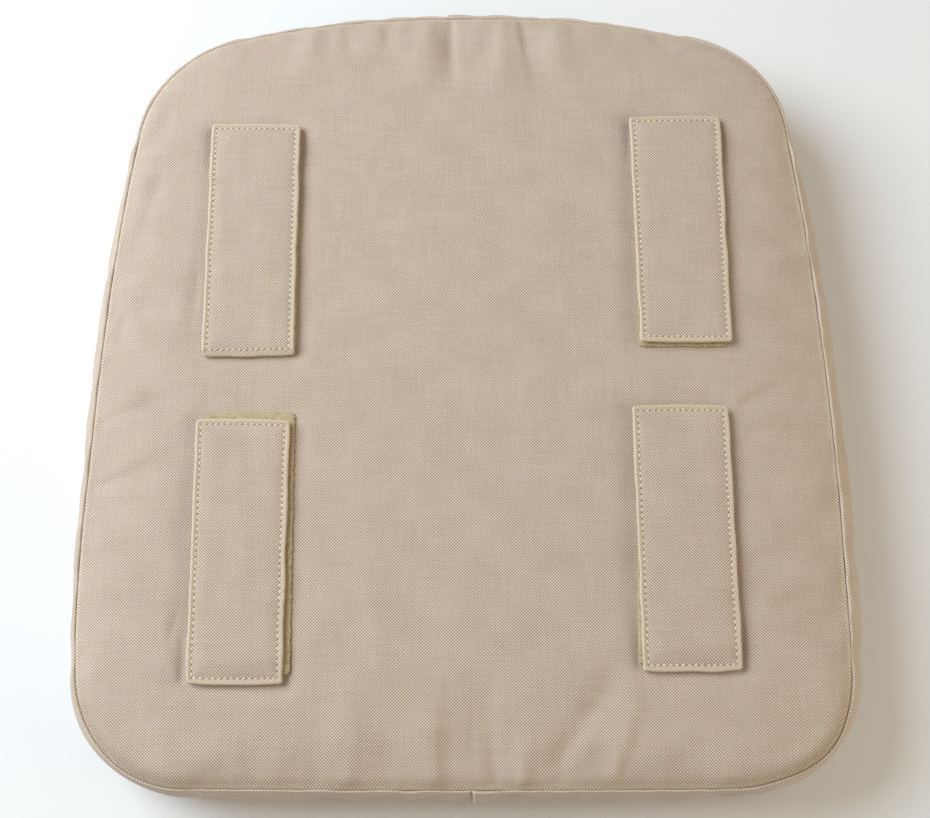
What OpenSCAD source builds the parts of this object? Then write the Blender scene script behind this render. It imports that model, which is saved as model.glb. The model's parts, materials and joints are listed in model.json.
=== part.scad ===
// Seat cushion for a garden armchair, in millimetres.
// It lies with its seat face down and its underside up, +Y towards the back of the chair.
// The origin is the middle of its footprint, on the surface that it lies on.

/* [Cover] */
// Width between the side seams at the widest place
seam_w = 440; // [400:5:520]
// Depth between the front seam and the rear seam
seam_d = 487; // [470:1:560]
// Height of the side band between its two seams
band_h = 48; // [40:1:80]
// Thickness of the canvas
canvas_t = 0.9; // [0.5:0.1:1.2]
// How far each panel rises above its seam
crown_h = 8; // [6:0.5:12]
// Width of the rounded margin inside the seam
crown_w = 42; // [30:1:48]
// How far the band stands out at the sides
side_bulge = 11; // [6:0.5:16]
// How far the band stands out at the front
front_bulge = 6; // [4:0.5:12]
// How far the band stands out at the rear
rear_bulge = 10; // [9:0.5:14]
// Place of the band's front joint, to the right of the middle
front_joint_x = 5; // [-40:1:40]
// Place of the band's rear joint, to the right of the middle
rear_joint_x = -10; // [-40:1:40]

/* [Outline] */
// Radius of the rear edge
rear_r = 606; // [500:1:900]
// Radius of the front edge
front_r = 12000; // [6000:100:20000]
// Radius of the side edges
side_r = 1880; // [1500:10:4000]
// Place of the widest line, behind the middle
widest_y = -84; // [-110:1:0]
// Radius of the rear corners
rear_corner_r = 79; // [65:1:95]
// Radius of the front corners
front_corner_r = 65; // [60:1:90]

/* [Filling] */
// Inset of the foam from the seams
foam_in = 9; // [7:0.5:14]
// Rounding of the foam's edges
foam_edge = 5; // [2:0.5:8]
// Thickness of the fibre wrap over the foam
wrap_t = 6; // [4:0.5:10]

/* [Straps] */
// Width of a strap flap
strap_w = 54; // [48:1:60]
// Length of a strap, with its sewn end
strap_len = 151; // [120:1:160]
// Length of the sewn end
anchor_len = 5; // [4:0.5:8]
// Thickness of a flap's folded canvas
flap_t = 1.6; // [1:0.1:2.5]
// Length over which a flap climbs onto its tape
flap_rise = 8; // [6:0.5:12]
// Middle of the rear left strap, in from the widest line of the side seam
rear_left_in = 91; // [75:1:120]
// Middle of the rear right strap, in from the widest line of the side seam
rear_right_in = 86.5; // [75:0.5:120]
// Middle of the front left strap, in from the widest line of the side seam
front_left_in = 92.5; // [75:0.5:120]
// Middle of the front right strap, in from the widest line of the side seam
front_right_in = 92; // [75:1:120]
// Sewn end of the rear left strap, in front of the rear seam
rear_left_back = 85.5; // [70:0.5:95]
// Sewn end of the rear right strap, in front of the rear seam
rear_right_back = 79.5; // [70:0.5:95]
// Sewn end of the front left strap, behind the front seam
front_left_back = 57.5; // [50:0.5:66]
// Sewn end of the front right strap, behind the front seam
front_right_back = 65; // [50:0.5:66]

/* [Hook and loop tape] */
// Width of the tapes
tape_w = 50; // [40:1:50]
// Gap between a strap's sewn end and its loop tape
loop_start = 8; // [6:0.5:16]
// Thickness of a loop tape with its pile
loop_t = 2; // [1.2:0.1:3]
// Gap between a flap's climb and its hook tape
hook_start = 4.4; // [1:0.2:16]
// Thickness of a hook tape
hook_t = 1.2; // [0.8:0.1:2]
// Gap between the hooks and the loops, where they only just touch
fastening_gap = 0.3; // [0.2:0.05:0.5]
// How far a hook tape stays inside the flap's free end
hook_end_in = 3; // [2:0.5:6]
// Inset of a flap's stitching from its edges
stitch_in = 3; // [2:0.5:5]
// Width of the line of thread
thread_w = 0.9; // [0.4:0.1:1.5]
// Height of the thread above the canvas
thread_h = 0.35; // [0.2:0.05:0.6]

/* [Zip] */
// Distance from the rear corners to the ends of the zip's slot
zip_end_in = 14; // [12:1:60]
// Height of the slot
zip_slot = 12; // [11:0.5:12.5]
// Width of each tape
zip_tape_w = 7.5; // [6.5:0.5:8]
// Thickness of each tape
zip_tape_t = 0.8; // [0.5:0.1:1]
// How far the tapes' outer faces lie outside the seam line
zip_out = 5.2; // [4.5:0.1:5.5]
// Gap between the two rows of teeth
zip_slit = 1.4; // [1.2:0.1:2]
// Width of a row of teeth
teeth_w = 1.9; // [1.5:0.1:2.5]
// Height of the teeth above the tape
teeth_t = 1.15; // [0.8:0.05:1.3]
// Length of the slider
slider_l = 11; // [8:0.5:14]
// Height of the slider
slider_h = 8.5; // [7:0.5:9.5]
// Thickness of the slider's plates
slider_t = 0.8; // [0.6:0.1:1]
// Width of the web that joins the slider's plates
slider_web = 0.8; // [0.5:0.1:0.9]
// Length of the pull
pull_l = 16; // [10:1:24]
// Height of the pull
pull_h = 4; // [3:0.5:5]
// Thickness of the pull
pull_t = 0.8; // [0.6:0.1:1]
// Radius of the pull's pin
pin_r = 0.5; // [0.4:0.05:0.55]
// Play between the pull's eye and its pin
pin_play = 0.08; // [0.05:0.01:0.1]
// Length of the stops at the ends of the teeth
stop_l = 2.5; // [2:0.5:4]

/* [Hidden] */
$fn = 48;

canvas = [0.78, 0.71, 0.64];
khaki = [0.76, 0.69, 0.57];
thread = [0.84, 0.79, 0.71];
foam = [0.93, 0.91, 0.85];
fibre = [0.97, 0.97, 0.96];
zip_cloth = [0.72, 0.66, 0.58];
zip_plastic = [0.62, 0.56, 0.48];
metal = [0.66, 0.62, 0.56];

// Gap between soft pieces that lie against each other
gap = 0.3;
// Gap between the zip's moving and still pieces
zip_gap = 0.3;
// Gap between pieces that thread holds together
sewn_gap = 0.05;
// How far the zip's tapes run on behind the band, past the slot's ends
tape_tail = 4;
// The slider's web, its ears and the pull's eye
web_l = 3;
ear_t = 1;
eye_wall = 0.32;
eye_play = 0.1;
// How far a cutting shape runs on past what it cuts
cut = 1;
// Length of a facet on the straight edges, and its turn on the corners
long_step = 55;
zip_step = 30;
corner_step = 10;
// A cushion's cross-section is rounder than a parabola and flatter than a circle
roundness = 2.2;

total_h = band_h + 2 * crown_h;
mid_z = total_h / 2;
seam_z = total_h - crown_h;

// Shares of the band's height at which its cross-section has points
band_inner_h = band_h - gap;
deep_v = 0.25;
slot_v = (1 - zip_slot / band_inner_h) / 2;
band_steps = [0, 0.12, deep_v, slot_v, 1 - slot_v, 1 - deep_v, 0.88, 1];
slot_row = 3;
half_steps = [0.5, 1 - slot_v, 1 - deep_v, 0.88, 1];
// Shares of the rounded margin's width at which it has points
crown_steps = [0, 0.12, 0.3, 0.55, 0.8, 1];
function swell(v) = 1 - pow(abs(2 * v - 1), roundness);
function rise(u) = 1 - pow(1 - u, roundness);
// Front and rear stand out differently, so the outline moves to keep the origin in the middle
shift_y = (front_bulge * swell(slot_v) - rear_bulge * swell(deep_v)) / 2;

// Outline of the seams: three kinds of long arc with corner arcs that touch them
function meet(c0, r0, c1, r1, towards) =
    let (
        d = norm(c1 - c0),
        a = (r0 * r0 - r1 * r1 + d * d) / (2 * d),
        h = sqrt(r0 * r0 - a * a),
        along = (c1 - c0) / d,
        across = [-along[1], along[0]],
        one = c0 + a * along + h * across,
        two = c0 + a * along - h * across
    )
    one * towards > two * towards ? one : two;
function heading(from, to) = atan2(to[1] - from[1], to[0] - from[0]);
function mirrored(p) = [-p[0], p[1]];

side_c = [seam_w / 2 - side_r, widest_y + shift_y];
rear_c = [0, seam_d / 2 - rear_r + shift_y];
front_c = [0, front_r - seam_d / 2 + shift_y];
rear_k = meet(side_c, side_r - rear_corner_r, rear_c, rear_r - rear_corner_r, [1, 1]);
front_k = meet(side_c, side_r - front_corner_r, front_c, front_r - front_corner_r, [1, -1]);
front_a = heading(front_c, front_k);
low_a = heading(side_c, front_k);
high_a = heading(side_c, rear_k);
rear_a = heading(rear_c, rear_k);

// Angles between the given ones, no further apart than step, without the last
function split(list, step) = [
    for (i = [0 : len(list) - 2])
        let (n = max(1, ceil(abs(list[i + 1] - list[i]) / step)))
            for (k = [0 : n - 1]) list[i] + (list[i + 1] - list[i]) * k / n
];
function station(c, r, a) = [c + r * [cos(a), sin(a)], [cos(a), sin(a)]];
function arc(c, r, list, step) = [for (a = split(list, step)) station(c, r, a)];
function turn(length, r) = length / r * 180 / PI;
function rear_angle(x) = acos(x / rear_r);
function front_angle(x) = -acos(x / front_r);
function mirror_side(list) =
    [for (i = [len(list) - 1 : -1 : 0]) [mirrored(list[i][0]), mirrored(list[i][1])]];

// A station is a point of the seam with its outward direction. The band's two lengths have their own,
// from joint to joint, anticlockwise
flank = concat(
    arc(front_k, front_corner_r, [front_a, low_a], corner_step),
    arc(side_c, side_r, [low_a, high_a], turn(long_step, side_r)),
    arc(rear_k, rear_corner_r, [high_a, rear_a], corner_step),
    [station(rear_c, rear_r, rear_a)]
);
zip_half = rear_r * cos(rear_a) - zip_end_in;
front_step = turn(2 * long_step, front_r);
rear_step = turn(zip_step, rear_r);
front_joint = [front_angle(front_joint_x + gap / 2), front_angle(front_joint_x - gap / 2)];
rear_joint = [rear_angle(rear_joint_x + gap / 2), rear_angle(rear_joint_x - gap / 2)];
front_right_arc = arc(front_c, front_r, [front_joint[0], front_a], front_step);
front_left_arc = arc(front_c, front_r, [-180 - front_a, front_joint[1]], front_step);
rear_right_arc = arc(rear_c, rear_r, [rear_a, rear_angle(zip_half), rear_joint[0]], rear_step);
rear_left_arc = arc(rear_c, rear_r, [rear_joint[1], rear_angle(-zip_half), 180 - rear_a], rear_step);

function tail(list) = [for (i = [1 : len(list) - 1]) list[i]];
right_stations = concat(
    front_right_arc, flank, tail(rear_right_arc), [station(rear_c, rear_r, rear_joint[0])]
);
left_stations = concat(
    rear_left_arc, mirror_side(flank), tail(front_left_arc), [station(front_c, front_r, front_joint[1])]
);
stations = concat(right_stations, left_stations);

// A ring of points beside the outline, at one height
function beside(s, out, z) = [s[0][0] + out * s[1][0], s[0][1] + out * s[1][1], z];
function ring(out, z) = [for (s = stations) beside(s, out, z)];

// Whether a station lies along the zip, or no further than reach beyond its ends
function beside_zip(s, reach) = s[1][1] > 0 && s[0][1] > 0 && abs(s[0][0]) < zip_half + reach;

// The faces of the zip, as distances outside the seam line
tape_in = zip_out - zip_tape_t;
back_out = tape_in - zip_gap;
back_in = back_out - slider_t;
teeth_out = zip_out + teeth_t;
front_in = teeth_out + zip_gap;
front_out = front_in + slider_t;
eye_r = pin_r + pin_play + eye_wall;
pin_out = front_out + eye_r + eye_play;
// A flat facet of the band lies this far inside its arc
facet_drop = zip_step * zip_step / (8 * rear_r);
// The band is drawn in along the slot until it lies on the tapes
slot_out = zip_out + gap + facet_drop + canvas_t;

// How far the band stands out at a station, v being the share of its height
function bulge(s) =
    let (end = s[1][1] > 0 ? rear_bulge : front_bulge)
        side_bulge + (end - side_bulge) * s[1][1] * s[1][1];
function at_slot(v) = v > deep_v && v < 1 - deep_v;
function band_out(s, v) = beside_zip(s, gap) && at_slot(v) ? slot_out : bulge(s) * swell(v);
function band_point(s, v, out) = beside(s, out, mid_z + (v - 0.5) * band_inner_h);
// The filling lies against the band, whose middle is flat, but stays behind the zip's slider
function wrap_out(s, v) =
    let (free = band_out(s, max(v, 1 - slot_v)) - canvas_t - gap)
        beside_zip(s, zip_step) && v <= 1 - deep_v ? min(free, back_in - zip_gap) : free;

// A closed solid from a stack of rings, each closed and anticlockwise, with the first and the last filled in
module loft(rings) {
    n = len(rings[0]);
    m = len(rings);
    sides = [
        for (j = [0 : m - 2])
            for (i = [0 : n - 1])
                let (k = (i + 1) % n)
                    each [
                        [j * n + i, (j + 1) * n + i, (j + 1) * n + k],
                        [j * n + i, (j + 1) * n + k, j * n + k]
                    ]
    ];
    first = [for (i = [0 : n - 1]) i];
    last = [for (i = [n - 1 : -1 : 0]) (m - 1) * n + i];
    polyhedron([for (r = rings) each r], concat([first], sides, [last]));
}

// A sheet between an outer and an inner grid of points, open where keep is false
module sheet(outer, inner, keep) {
    n = len(outer);
    m = len(outer[0]);
    function kept(i, j) = i >= 0 && i < n - 1 && j >= 0 && j < m - 1 && keep[i][j];
    function o(i, j) = i * m + j;
    function q(i, j) = n * m + i * m + j;
    function quad(a, b, c, d) = [[a, b, c], [a, c, d]];
    faces = [
        for (i = [0 : n - 2])
            for (j = [0 : m - 2])
                if (kept(i, j))
                    each concat(
                        quad(o(i, j), o(i, j + 1), o(i + 1, j + 1), o(i + 1, j)),
                        quad(q(i, j), q(i + 1, j), q(i + 1, j + 1), q(i, j + 1)),
                        kept(i - 1, j) ? [] : quad(o(i, j), q(i, j), q(i, j + 1), o(i, j + 1)),
                        kept(i + 1, j) ? []
                            : quad(o(i + 1, j), o(i + 1, j + 1), q(i + 1, j + 1), q(i + 1, j)),
                        kept(i, j - 1) ? [] : quad(o(i, j), o(i + 1, j), q(i + 1, j), q(i, j)),
                        kept(i, j + 1) ? []
                            : quad(o(i, j + 1), q(i, j + 1), q(i + 1, j + 1), o(i + 1, j + 1))
                    )
    ];
    polyhedron(concat([for (r = outer) each r], [for (r = inner) each r]), faces);
}

// The cushion is alike above and below, so the lower half's shapes are mirror images of the upper half's
module below() {
    translate([0, 0, total_h]) mirror([0, 0, 1]) children();
}

// The rounded margin at a share of its width, a distance below the panel's outer face
panel_z = seam_z + gap / 2;
function crown_ring(u, down) = ring(-u * crown_w, panel_z + rise(u) * (total_h - panel_z) - down);
inner_steps = [for (k = [1 : len(crown_steps) - 1]) crown_steps[k]];
falling_steps = [for (k = [len(crown_steps) - 1 : -1 : 1]) crown_steps[k]];

// A panel of canvas, whose edge stands on the band's edge where the two are sewn together
module panel() {
    loft(concat(
        [for (u = falling_steps) crown_ring(u, canvas_t)],
        [ring(-canvas_t, panel_z)],
        [for (u = crown_steps) crown_ring(u, 0)]
    ));
}

module underside_panel() {
    color(canvas) panel();
}

module seat_panel() {
    color(canvas) below() panel();
}

// One length of the side band, with its share of the zip's slot
module band(list) {
    outer = [for (s = list) [for (v = band_steps) band_point(s, v, band_out(s, v))]];
    inner = [for (s = list) [for (v = band_steps) band_point(s, v, band_out(s, v) - canvas_t)]];
    keep = [
        for (i = [0 : len(list) - 2])
            [for (j = [0 : len(band_steps) - 2])
                !(j == slot_row && beside_zip(list[i], gap) && beside_zip(list[i + 1], gap))]
    ];
    color(canvas) sheet(outer, inner, keep);
}

module band_left() {
    band(left_stations);
}

module band_right() {
    band(right_stations);
}

// The foam block, with its edges cut at a slant
foam_top = total_h - canvas_t - gap - wrap_t - gap;
function foam_rings(grow) = [
    ring(grow - foam_in, foam_top - foam_edge + grow),
    ring(grow - foam_in - foam_edge, foam_top + grow)
];

module foam_core() {
    top = foam_rings(0);
    bottom = [for (k = [1, 0]) [for (p = top[k]) [p[0], p[1], total_h - p[2]]]];
    color(foam) loft(concat(bottom, top));
}

// Half of the fibre wrap, hollowed for the foam and shaped by the cover
module wadding() {
    cup = foam_rings(gap);
    split_z = mid_z + gap / 2;
    side = [
        for (v = half_steps)
            [for (s = stations) let (p = band_point(s, v, wrap_out(s, v))) [p[0], p[1], max(p[2], split_z)]]
    ];
    crown = [for (u = inner_steps) crown_ring(u, canvas_t + gap)];
    loft(concat([cup[1], cup[0], ring(gap - foam_in, split_z)], side, crown));
}

module wadding_underside() {
    color(fibre) wadding();
}

module wadding_seat_side() {
    color(fibre) below() wadding();
}

// A bar that follows the rear edge, between two places across the cushion
module rear_bar(x0, x1, out0, out1, z0, z1) {
    a0 = rear_angle(x0);
    a1 = rear_angle(x1);
    translate([0, rear_c[1], mid_z])
        rotate_extrude(start = a0, angle = a1 - a0, $fn = 360)
            translate([rear_r + out0, z0])
                square([out1 - out0, z1 - z0]);
}

tape_end = zip_half + tape_tail;
stop_end = zip_half - zip_gap;
teeth_end = stop_end - stop_l - zip_gap;
module zip_tape() {
    color(zip_cloth) rear_bar(tape_end, -tape_end, tape_in, zip_out, zip_slit / 2, zip_slit / 2 + zip_tape_w);
}

module zip_teeth() {
    color(zip_plastic)
        rear_bar(teeth_end, -teeth_end, zip_out + sewn_gap, teeth_out, zip_slit / 2, zip_slit / 2 + teeth_w);
}

module zip_tape_upper() {
    zip_tape();
}

module zip_tape_lower() {
    below() zip_tape();
}

module zip_teeth_upper() {
    zip_teeth();
}

module zip_teeth_lower() {
    below() zip_teeth();
}

// The stops close both ends of the teeth
module zip_stops() {
    h = zip_slit / 2 + teeth_w;
    color(zip_plastic)
        for (x = [stop_end, stop_l - stop_end])
            rear_bar(x, x - stop_l, zip_out + sewn_gap, teeth_out, -h, h);
}

// The slider rests beside the right-hand stop; its web runs between the rows of teeth
slider_x = teeth_end - slider_l / 2 - zip_gap;
slider_a = rear_angle(slider_x);
ear_z = pull_h / 2 + zip_gap;
module at_slider() {
    translate([0, rear_c[1], mid_z]) rotate([0, 0, slider_a]) translate([rear_r, 0, 0]) children();
}

module zip_slider() {
    x0 = slider_x + slider_l / 2;
    x1 = slider_x - slider_l / 2;
    web_x = x0 - web_l / 2;
    front_mid = front_in + slider_t / 2;
    h = slider_h / 2;
    color(metal) {
        rear_bar(x0, x1, back_in, back_out, -h, h);
        rear_bar(x0, x1, front_in, front_out, -h, h);
        rear_bar(web_x, web_x - web_l, back_in + slider_t / 2, front_mid, -slider_web / 2, slider_web / 2);
        at_slider() {
            for (z = [ear_z, -ear_z - ear_t])
                translate([front_mid, -eye_r, z])
                    cube([pin_out - front_mid + pin_r, 2 * eye_r, ear_t]);
            translate([pin_out, 0, -ear_z - ear_t / 2])
                cylinder(r = pin_r, h = 2 * ear_z + ear_t);
        }
    }
}

// The pull turns on a pin between the slider's ears, and lies along the teeth
module zip_pull() {
    color(metal)
        at_slider()
            translate([pin_out, 0, -pull_h / 2])
                difference() {
                    union() {
                        cylinder(r = eye_r, h = pull_h);
                        translate([-pull_t / 2, 0, 0]) cube([pull_t, pull_l, pull_h]);
                    }
                    translate([0, 0, -cut]) cylinder(r = pin_r + pin_play, h = pull_h + 2 * cut);
                }
}

// Straps: place of the middle of the sewn end, the way that the flap points, the loop tape's shift across
// the strap, and how far the loop tape reaches past the free end, because no two were sewn quite alike
rear_y = seam_d / 2 + shift_y;
front_y = shift_y - seam_d / 2;
tape_shift = [1.5, 0, 4.5, -4.5];
tape_past = [-1.5, 1.5, 4, -1.5];
function strap(k, x, y, way) = [x, y, way, tape_shift[k], tape_past[k]];
rear_left = strap(0, rear_left_in - seam_w / 2, rear_y - rear_left_back, -1);
rear_right = strap(1, seam_w / 2 - rear_right_in, rear_y - rear_right_back, -1);
front_left = strap(2, front_left_in - seam_w / 2, front_y + front_left_back, 1);
front_right = strap(3, seam_w / 2 - front_right_in, front_y + front_right_back, 1);

// Inside this, +Y runs from a strap's sewn end to its free end, and z is the height above the panel
module on_strap(s) {
    translate([s[0], s[1], total_h]) rotate([0, 0, s[2] > 0 ? 0 : 180]) children();
}

// The fold line where the flap lifts, high enough for the flap to lean back over its sewn end
anchor_t = flap_t / 2;
fold_r = flap_t / 2;
fold_z = anchor_t + fold_r + gap / 3;
fold_y = anchor_len + sqrt(pow(fold_r + gap, 2) - pow(fold_z - anchor_t, 2));
hook_z = loop_t + fastening_gap;
flap_z = hook_z + hook_t;
flap_top = flap_z + flap_t;
flat_y = fold_y + flap_rise;
loop_y = anchor_len + loop_start;

module loop_tape(s) {
    color(khaki)
        on_strap(s)
            translate([s[3] * s[2] - tape_w / 2, loop_y + s[4], 0])
                cube([tape_w, strap_len - loop_y, loop_t]);
}

module strap_anchor(s) {
    color(canvas)
        on_strap(s)
            translate([-strap_w / 2, 0, 0])
                cube([strap_w, anchor_len, anchor_t]);
}

// The flap seen from its side: rounded at the fold, then a short climb onto the tapes
module flap_side() {
    translate([fold_y, fold_z]) circle(fold_r);
    polygon([
        [fold_y, fold_z - fold_r], [flat_y, flap_z], [strap_len, flap_z],
        [strap_len, flap_top], [flat_y, flap_top], [fold_y, fold_z + fold_r]
    ]);
}

module strap_flap(s) {
    color(canvas)
        on_strap(s)
            translate([-strap_w / 2, 0, 0])
                rotate([90, 0, 90])
                    linear_extrude(strap_w) flap_side();
}

module hook_tape(s) {
    color(khaki)
        on_strap(s)
            translate([-tape_w / 2, flat_y + hook_start, hook_z])
                cube([tape_w, strap_len - hook_end_in - flat_y - hook_start, hook_t]);
}

module flap_stitching(s) {
    w = strap_w - 2 * stitch_in;
    l = strap_len - stitch_in - flat_y - thread_w;
    color(thread)
        on_strap(s)
            translate([-w / 2, flat_y + thread_w, flap_top])
                difference() {
                    cube([w, l, thread_h]);
                    translate([thread_w, thread_w, -cut])
                        cube([w - 2 * thread_w, l - 2 * thread_w, thread_h + 2 * cut]);
                }
}

foam_core();
wadding_seat_side();
wadding_underside();
seat_panel();
underside_panel();
band_left();
band_right();
zip_tape_upper();
zip_tape_lower();
zip_teeth_upper();
zip_teeth_lower();
zip_stops();
zip_slider();
zip_pull();
loop_tape(rear_left);  // loop_tape_rear_left
loop_tape(rear_right);  // loop_tape_rear_right
loop_tape(front_left);  // loop_tape_front_left
loop_tape(front_right);  // loop_tape_front_right
strap_anchor(rear_left);  // strap_anchor_rear_left
strap_anchor(rear_right);  // strap_anchor_rear_right
strap_anchor(front_left);  // strap_anchor_front_left
strap_anchor(front_right);  // strap_anchor_front_right
strap_flap(rear_left);  // strap_flap_rear_left
strap_flap(rear_right);  // strap_flap_rear_right
strap_flap(front_left);  // strap_flap_front_left
strap_flap(front_right);  // strap_flap_front_right
hook_tape(rear_left);  // hook_tape_rear_left
hook_tape(rear_right);  // hook_tape_rear_right
hook_tape(front_left);  // hook_tape_front_left
hook_tape(front_right);  // hook_tape_front_right
flap_stitching(rear_left);  // flap_stitching_rear_left
flap_stitching(rear_right);  // flap_stitching_rear_right
flap_stitching(front_left);  // flap_stitching_front_left
flap_stitching(front_right);  // flap_stitching_front_right
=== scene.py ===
# %% [markdown]
# # A seat cushion for a garden armchair
# The cushion lies on its seat face, so that the camera sees its strapped underside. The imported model
# gives every piece its place. Each cell below gives one of them its cloth, thread, plastic or metal.

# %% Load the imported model
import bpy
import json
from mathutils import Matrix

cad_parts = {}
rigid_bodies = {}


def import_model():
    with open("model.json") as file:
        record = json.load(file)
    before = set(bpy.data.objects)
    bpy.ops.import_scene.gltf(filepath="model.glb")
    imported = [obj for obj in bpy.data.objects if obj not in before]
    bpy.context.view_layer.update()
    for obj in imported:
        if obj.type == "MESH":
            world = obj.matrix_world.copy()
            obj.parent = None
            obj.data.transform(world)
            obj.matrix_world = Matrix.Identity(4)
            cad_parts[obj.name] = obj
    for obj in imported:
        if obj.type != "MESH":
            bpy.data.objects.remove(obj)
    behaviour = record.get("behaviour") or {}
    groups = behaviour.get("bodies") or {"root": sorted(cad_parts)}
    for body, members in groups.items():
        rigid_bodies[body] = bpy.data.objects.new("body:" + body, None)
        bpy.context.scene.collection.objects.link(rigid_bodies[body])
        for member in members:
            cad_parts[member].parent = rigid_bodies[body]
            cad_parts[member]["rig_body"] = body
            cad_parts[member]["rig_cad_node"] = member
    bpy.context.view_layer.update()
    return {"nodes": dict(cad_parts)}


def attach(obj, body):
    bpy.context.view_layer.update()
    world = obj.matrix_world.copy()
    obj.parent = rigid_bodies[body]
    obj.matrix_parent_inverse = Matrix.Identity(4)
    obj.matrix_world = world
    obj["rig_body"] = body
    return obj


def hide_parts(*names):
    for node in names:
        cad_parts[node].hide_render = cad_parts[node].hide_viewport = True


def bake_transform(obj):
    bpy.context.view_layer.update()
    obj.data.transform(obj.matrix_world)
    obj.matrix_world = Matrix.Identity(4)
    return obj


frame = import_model()

import json
import math

import bpy
import numpy as np
from mathutils import Vector

# %% [markdown]
# ## Sizes
# All sizes are in millimetres, as a maker would note them, and turn into metres only where a mesh is
# made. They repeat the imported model's own sizes, so that every cloth piece lands where its solid is.

# %% Sizes
MM = 0.001
SEAM_W, SEAM_D = 440, 487
BAND_H, CROWN_H = 48, 8
SIDE_BULGE, FRONT_BULGE, REAR_BULGE = 11, 6, 10
FRONT_JOINT_X, REAR_JOINT_X = 5, -10
CANVAS_T = 0.9
TOTAL_H = BAND_H + 2 * CROWN_H
SEAM_Z = TOTAL_H - CROWN_H
MID_Z = TOTAL_H / 2
ROUNDNESS = 2.2


def swell(share):
    """How far the band stands out at a share of its height, as a share of its bulge."""
    return 1 - np.abs(2 * share - 1) ** ROUNDNESS


def smooth(low, high, value):
    """A gentle climb from 0 at low to 1 at high."""
    t = np.clip((value - low) / (high - low), 0, 1)
    return t * t * (3 - 2 * t)


# %% [markdown]
# ## Shader maths
# A woven cloth is a sum of waves, so its material is easiest to read as a formula. The class Value
# wraps one socket: adding or multiplying Values adds the Math nodes.

# %% Value
class Value:
    """A number that varies over a surface. Sums with it add Math nodes to its finish."""

    def __init__(self, finish, socket):
        self.finish = finish
        self.socket = socket

    def maths(self, operation, *others):
        values = dict(enumerate((self, *others)))
        return self.finish.node("ShaderNodeMath", {"operation": operation}, values)

    def __add__(self, other):
        return self.maths("ADD", other)

    def __sub__(self, other):
        return self.maths("SUBTRACT", other)

    def __rsub__(self, other):
        return self * -1 + other

    def __mul__(self, other):
        return self.maths("MULTIPLY", other)

    def __abs__(self):
        return self.maths("ABSOLUTE")

    __radd__ = __add__
    __rmul__ = __mul__


# %% [markdown]
# The class Finish holds a material and its one method for every other kind of node. The rest of
# its methods are names for the nodes that come up often: noise, a mix of two colours, a bump.

# %% Finish
class Finish:
    """A material with one Principled shader, or the world with its background."""

    def __init__(self, name, is_world=False, **constants):
        self.owner = (bpy.data.worlds if is_world else bpy.data.materials).new(name)
        self.owner.use_nodes = True
        self.tree = self.owner.node_tree
        self.shader = self.tree.nodes["Background" if is_world else "Principled BSDF"]
        for socket, value in constants.items():
            self.shader.inputs[socket.replace("_", " ")].default_value = value

    def node(self, kind, settings, inputs, output=0):
        made = self.tree.nodes.new(kind)
        for name, value in settings.items():
            setattr(made, name, value)
        self.feed(made, inputs)
        return Value(self, made.outputs[output])

    def feed(self, node, inputs):
        for name, value in inputs.items():
            if isinstance(value, Value):
                self.tree.links.new(value.socket, node.inputs[name])
            else:
                node.inputs[name].default_value = value

    def uv(self, name, scale):
        place = self.node("ShaderNodeUVMap", {"uv_map": name}, {})
        return self.vector_maths("SCALE", {0: place, "Scale": scale})

    def place(self):
        """Object coordinates in millimetres."""
        place = self.node("ShaderNodeTexCoord", {}, {}, "Object")
        return self.vector_maths("SCALE", {0: place, "Scale": 1 / MM})

    def vector_maths(self, operation, inputs):
        return self.node("ShaderNodeVectorMath", {"operation": operation}, inputs)

    def stretch(self, vector, factors):
        return self.vector_maths("MULTIPLY", {0: vector, 1: factors})

    def part(self, vector, axis):
        return self.node("ShaderNodeSeparateXYZ", {}, {0: vector}, axis)

    def noise(self, vector, scale, detail=2.0, output=0):
        inputs = {"Vector": vector, "Scale": scale, "Detail": detail}
        return self.node("ShaderNodeTexNoise", {}, inputs, output)

    def step(self, value, low, high):
        inputs = {"Value": value, "From Min": low, "From Max": high}
        return self.node("ShaderNodeMapRange", {"interpolation_type": "SMOOTHSTEP"}, inputs)

    def mix(self, factor, first, second, blend="MIX"):
        settings = {"data_type": "RGBA", "blend_type": blend}
        return self.node("ShaderNodeMix", settings, {0: factor, 6: first, 7: second}, 2)

    def paint(self, colour, roughness, height, strength, depth):
        inputs = {"Height": height, "Strength": strength, "Distance": depth}
        bump = self.node("ShaderNodeBump", {}, inputs)
        self.feed(self.shader, {"Base Color": colour, "Roughness": roughness, "Normal": bump})
        return self.owner


# %% [markdown]
# ## Canvas
# The cover is a plain-weave canvas of two-coloured yarn. Each thread goes over one crossing thread
# and under the next. The product of two sine waves is positive where a warp thread is on top and
# negative where a weft thread is, so one formula gives the checks, the thread heights and the dark
# gaps. Slow noise shifts the threads a little, as in real cloth, and long thin noise makes single
# yarns thicker or paler.

# %% Canvas
THREAD_PITCH = 0.88
CANVAS_DARK = (0.17, 0.11, 0.055, 1)
CANVAS_LIGHT = (0.94, 0.80, 0.70, 1)
WARM_TINT, COOL_TINT = (1.0, 0.97, 0.985, 1), (0.99, 0.995, 0.965, 1)


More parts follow.
